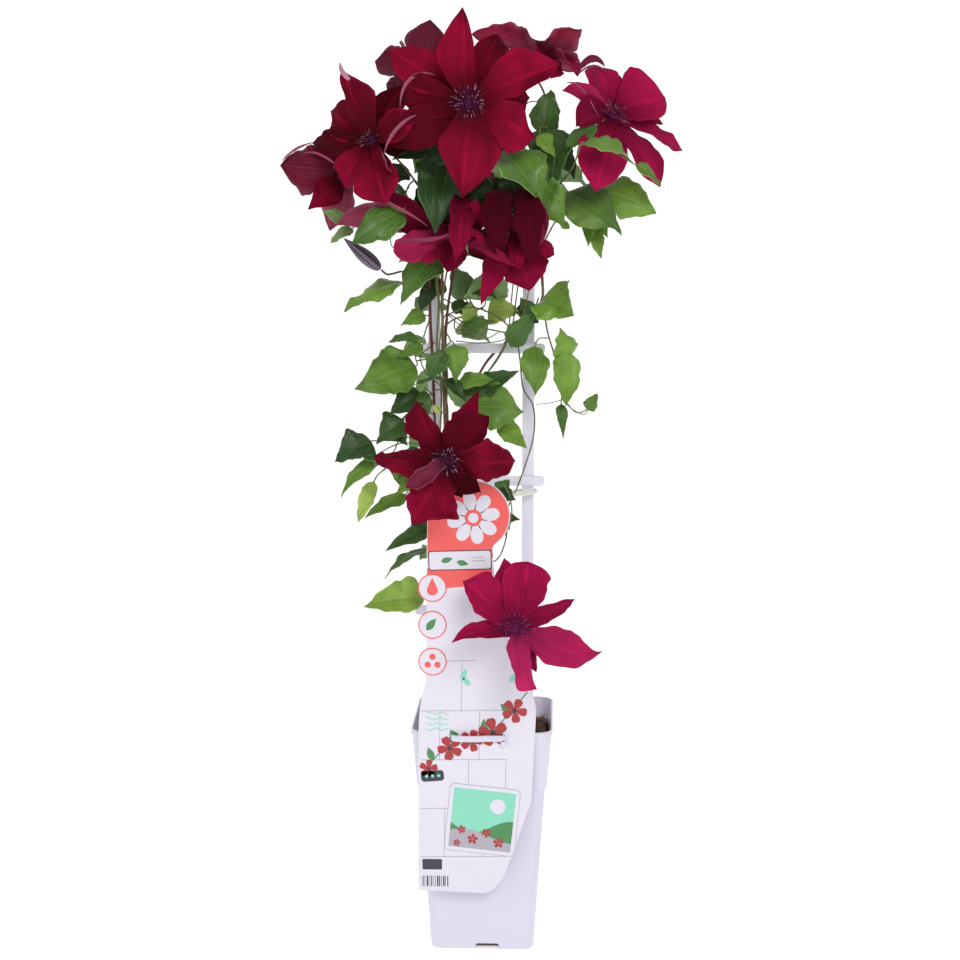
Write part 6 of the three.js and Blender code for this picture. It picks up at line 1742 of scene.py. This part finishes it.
class CLEMATIS_OT_filling(bpy.types.Operator):
    """Build the further leaflets and the tendrils that fill the plant"""
    bl_idname = "clematis.filling"
    bl_label = "Filling leaves"

    def execute(self, context):
        skins = {"leaf": bpy.data.materials["leaf front"], "back": bpy.data.materials["leaf back"],
                 "stalk": bpy.data.materials["leaf stalk"]}
        stems = [point for branches in STEMS.values() for _, points, *bloom in branches
                 for point in stalk_path(points, *bloom)[:-14]]
        pattern = blade_pattern("leaf pattern", columns=14, rows=24)
        for number, (name, leaflets) in enumerate(FILL.items()):
            rng = np.random.default_rng(300 + number)
            rods = [petiole(stems, base, tip) for base, tip, *_ in leaflets]
            build_spray("filling_" + name, pattern, leaflets, rods, "leaf", skins, rng)
        bpy.data.objects.remove(pattern)
        curls = []
        for radius, points in TENDRILS:
            path = smooth_path(points)
            curls.append(rod(path, [radius] * (len(path) - 1) + [radius * 0.5], 0.7, 1))
        settle(join(curls), "tendrils", [skins["stalk"]], smooth=math.radians(60))
        return {"FINISHED"}


# ---- Stage ----

class CLEMATIS_OT_stage(bpy.types.Operator):
    """Set up the floor, the soft light and the camera"""
    bl_idname = "clematis.stage"
    bl_label = "Stage"

    def execute(self, context):
        stage = settings("stage")
        scene = context.scene
        deselect()
        bpy.ops.mesh.primitive_grid_add(x_subdivisions=1, y_subdivisions=24, size=2)
        floor = bpy.context.object
        floor.name = "floor"
        half, bend, behind = 6, 1.2, 1.1
        for vertex in floor.data.vertices:
            run = (vertex.co.y + 1) * half - 5
            angle = min(max(run / bend, 0), math.pi / 2)
            vertex.co.x *= half
            vertex.co.y = behind + min(run, 0) + bend * math.sin(angle)
            vertex.co.z = bend * (1 - math.cos(angle)) + max(0, run - bend * math.pi / 2)
        bpy.ops.object.shade_smooth()
        paper = Finish("floor", 0.9)
        paper.set("Base Color", (*stage.floor, 1))
        paper.set("Emission Color", (1, 1, 1, 1))
        paper.set("Emission Strength", stage.glow)
        floor.data.materials.append(paper.material)
        world = bpy.data.worlds.new("daylight")
        world.use_nodes = True
        sky = world.node_tree.nodes["Background"]
        sky.inputs["Color"].default_value = (1, 1, 1, 1)
        sky.inputs["Strength"].default_value = stage.daylight
        scene.world = world
        for name, place, size, power in (("key light", (0.7, -1.9, 1.7), 0.9, stage.key),
                                         ("fill light", (-1.6, -1.3, 1.1), 1.2, stage.key * 0.35)):
            light = bpy.data.lights.new(name, "AREA")
            light.energy = power
            light.size = size
            lamp = bpy.data.objects.new(name, light)
            lamp.location = place
            lamp.rotation_euler = (Vector((0, 0, 0.5)) - Vector(place)).to_track_quat("-Z", "Y").to_euler()
            scene.collection.objects.link(lamp)
        optics = bpy.data.cameras.new("camera")
        optics.lens = 68
        optics.sensor_width = 36
        camera = bpy.data.objects.new("camera", optics)
        aside, away, high = 0.065, 1.665, 0.674
        camera.location = (aside, -away, high)
        yaw = math.atan2(aside, away) + math.radians(0.13)
        pitch = math.radians(8.1)
        look = Vector((-math.sin(yaw) * math.cos(pitch), math.cos(yaw) * math.cos(pitch), -math.sin(pitch)))
        camera.rotation_euler = look.to_track_quat("-Z", "Y").to_euler()
        scene.collection.objects.link(camera)
        scene.camera = camera
        scene.view_settings.view_transform = "Standard"
        return {"FINISHED"}


class CLEMATIS_PT_parts(bpy.types.Panel):
    """The pieces of the plant, in the order they are built"""
    bl_label = "Clematis"
    bl_idname = "CLEMATIS_PT_parts"
    bl_space_type = "VIEW_3D"
    bl_region_type = "UI"
    bl_category = "Clematis"

    def draw(self, context):
        for operator in OPERATORS:
            self.layout.operator(operator.bl_idname)


GROUPS = {
    "clematis_pot": ClematisPotSettings,
    "clematis_support": ClematisSupportSettings,
    "clematis_label": ClematisLabelSettings,
    "clematis_plant": ClematisPlantSettings,
    "clematis_stage": ClematisStageSettings,
}
OPERATORS = (CLEMATIS_OT_stage, CLEMATIS_OT_pot, CLEMATIS_OT_compost, CLEMATIS_OT_trellis, CLEMATIS_OT_tie,
             CLEMATIS_OT_label, CLEMATIS_OT_stems, CLEMATIS_OT_blooms, CLEMATIS_OT_stamens, CLEMATIS_OT_buds,
             CLEMATIS_OT_leaves, CLEMATIS_OT_filling)
CLASSES = (*GROUPS.values(), *OPERATORS, CLEMATIS_PT_parts)


def register():
    for cls in CLASSES:
        bpy.utils.register_class(cls)
    for name, group in GROUPS.items():
        setattr(bpy.types.Scene, name, bpy.props.PointerProperty(type=group))


def unregister():
    for name in GROUPS:
        delattr(bpy.types.Scene, name)
    for cls in reversed(CLASSES):
        bpy.utils.unregister_class(cls)


def main():
    register()
    bpy.ops.clematis.stage()
    bpy.ops.clematis.pot()
    bpy.ops.clematis.compost()
    bpy.ops.clematis.trellis()
    bpy.ops.clematis.tie()
    bpy.ops.clematis.label()
    bpy.ops.clematis.stems()
    bpy.ops.clematis.blooms()
    bpy.ops.clematis.stamens()
    bpy.ops.clematis.buds()
    bpy.ops.clematis.leaves()
    bpy.ops.clematis.filling()


if __name__ == "__main__":
    main()
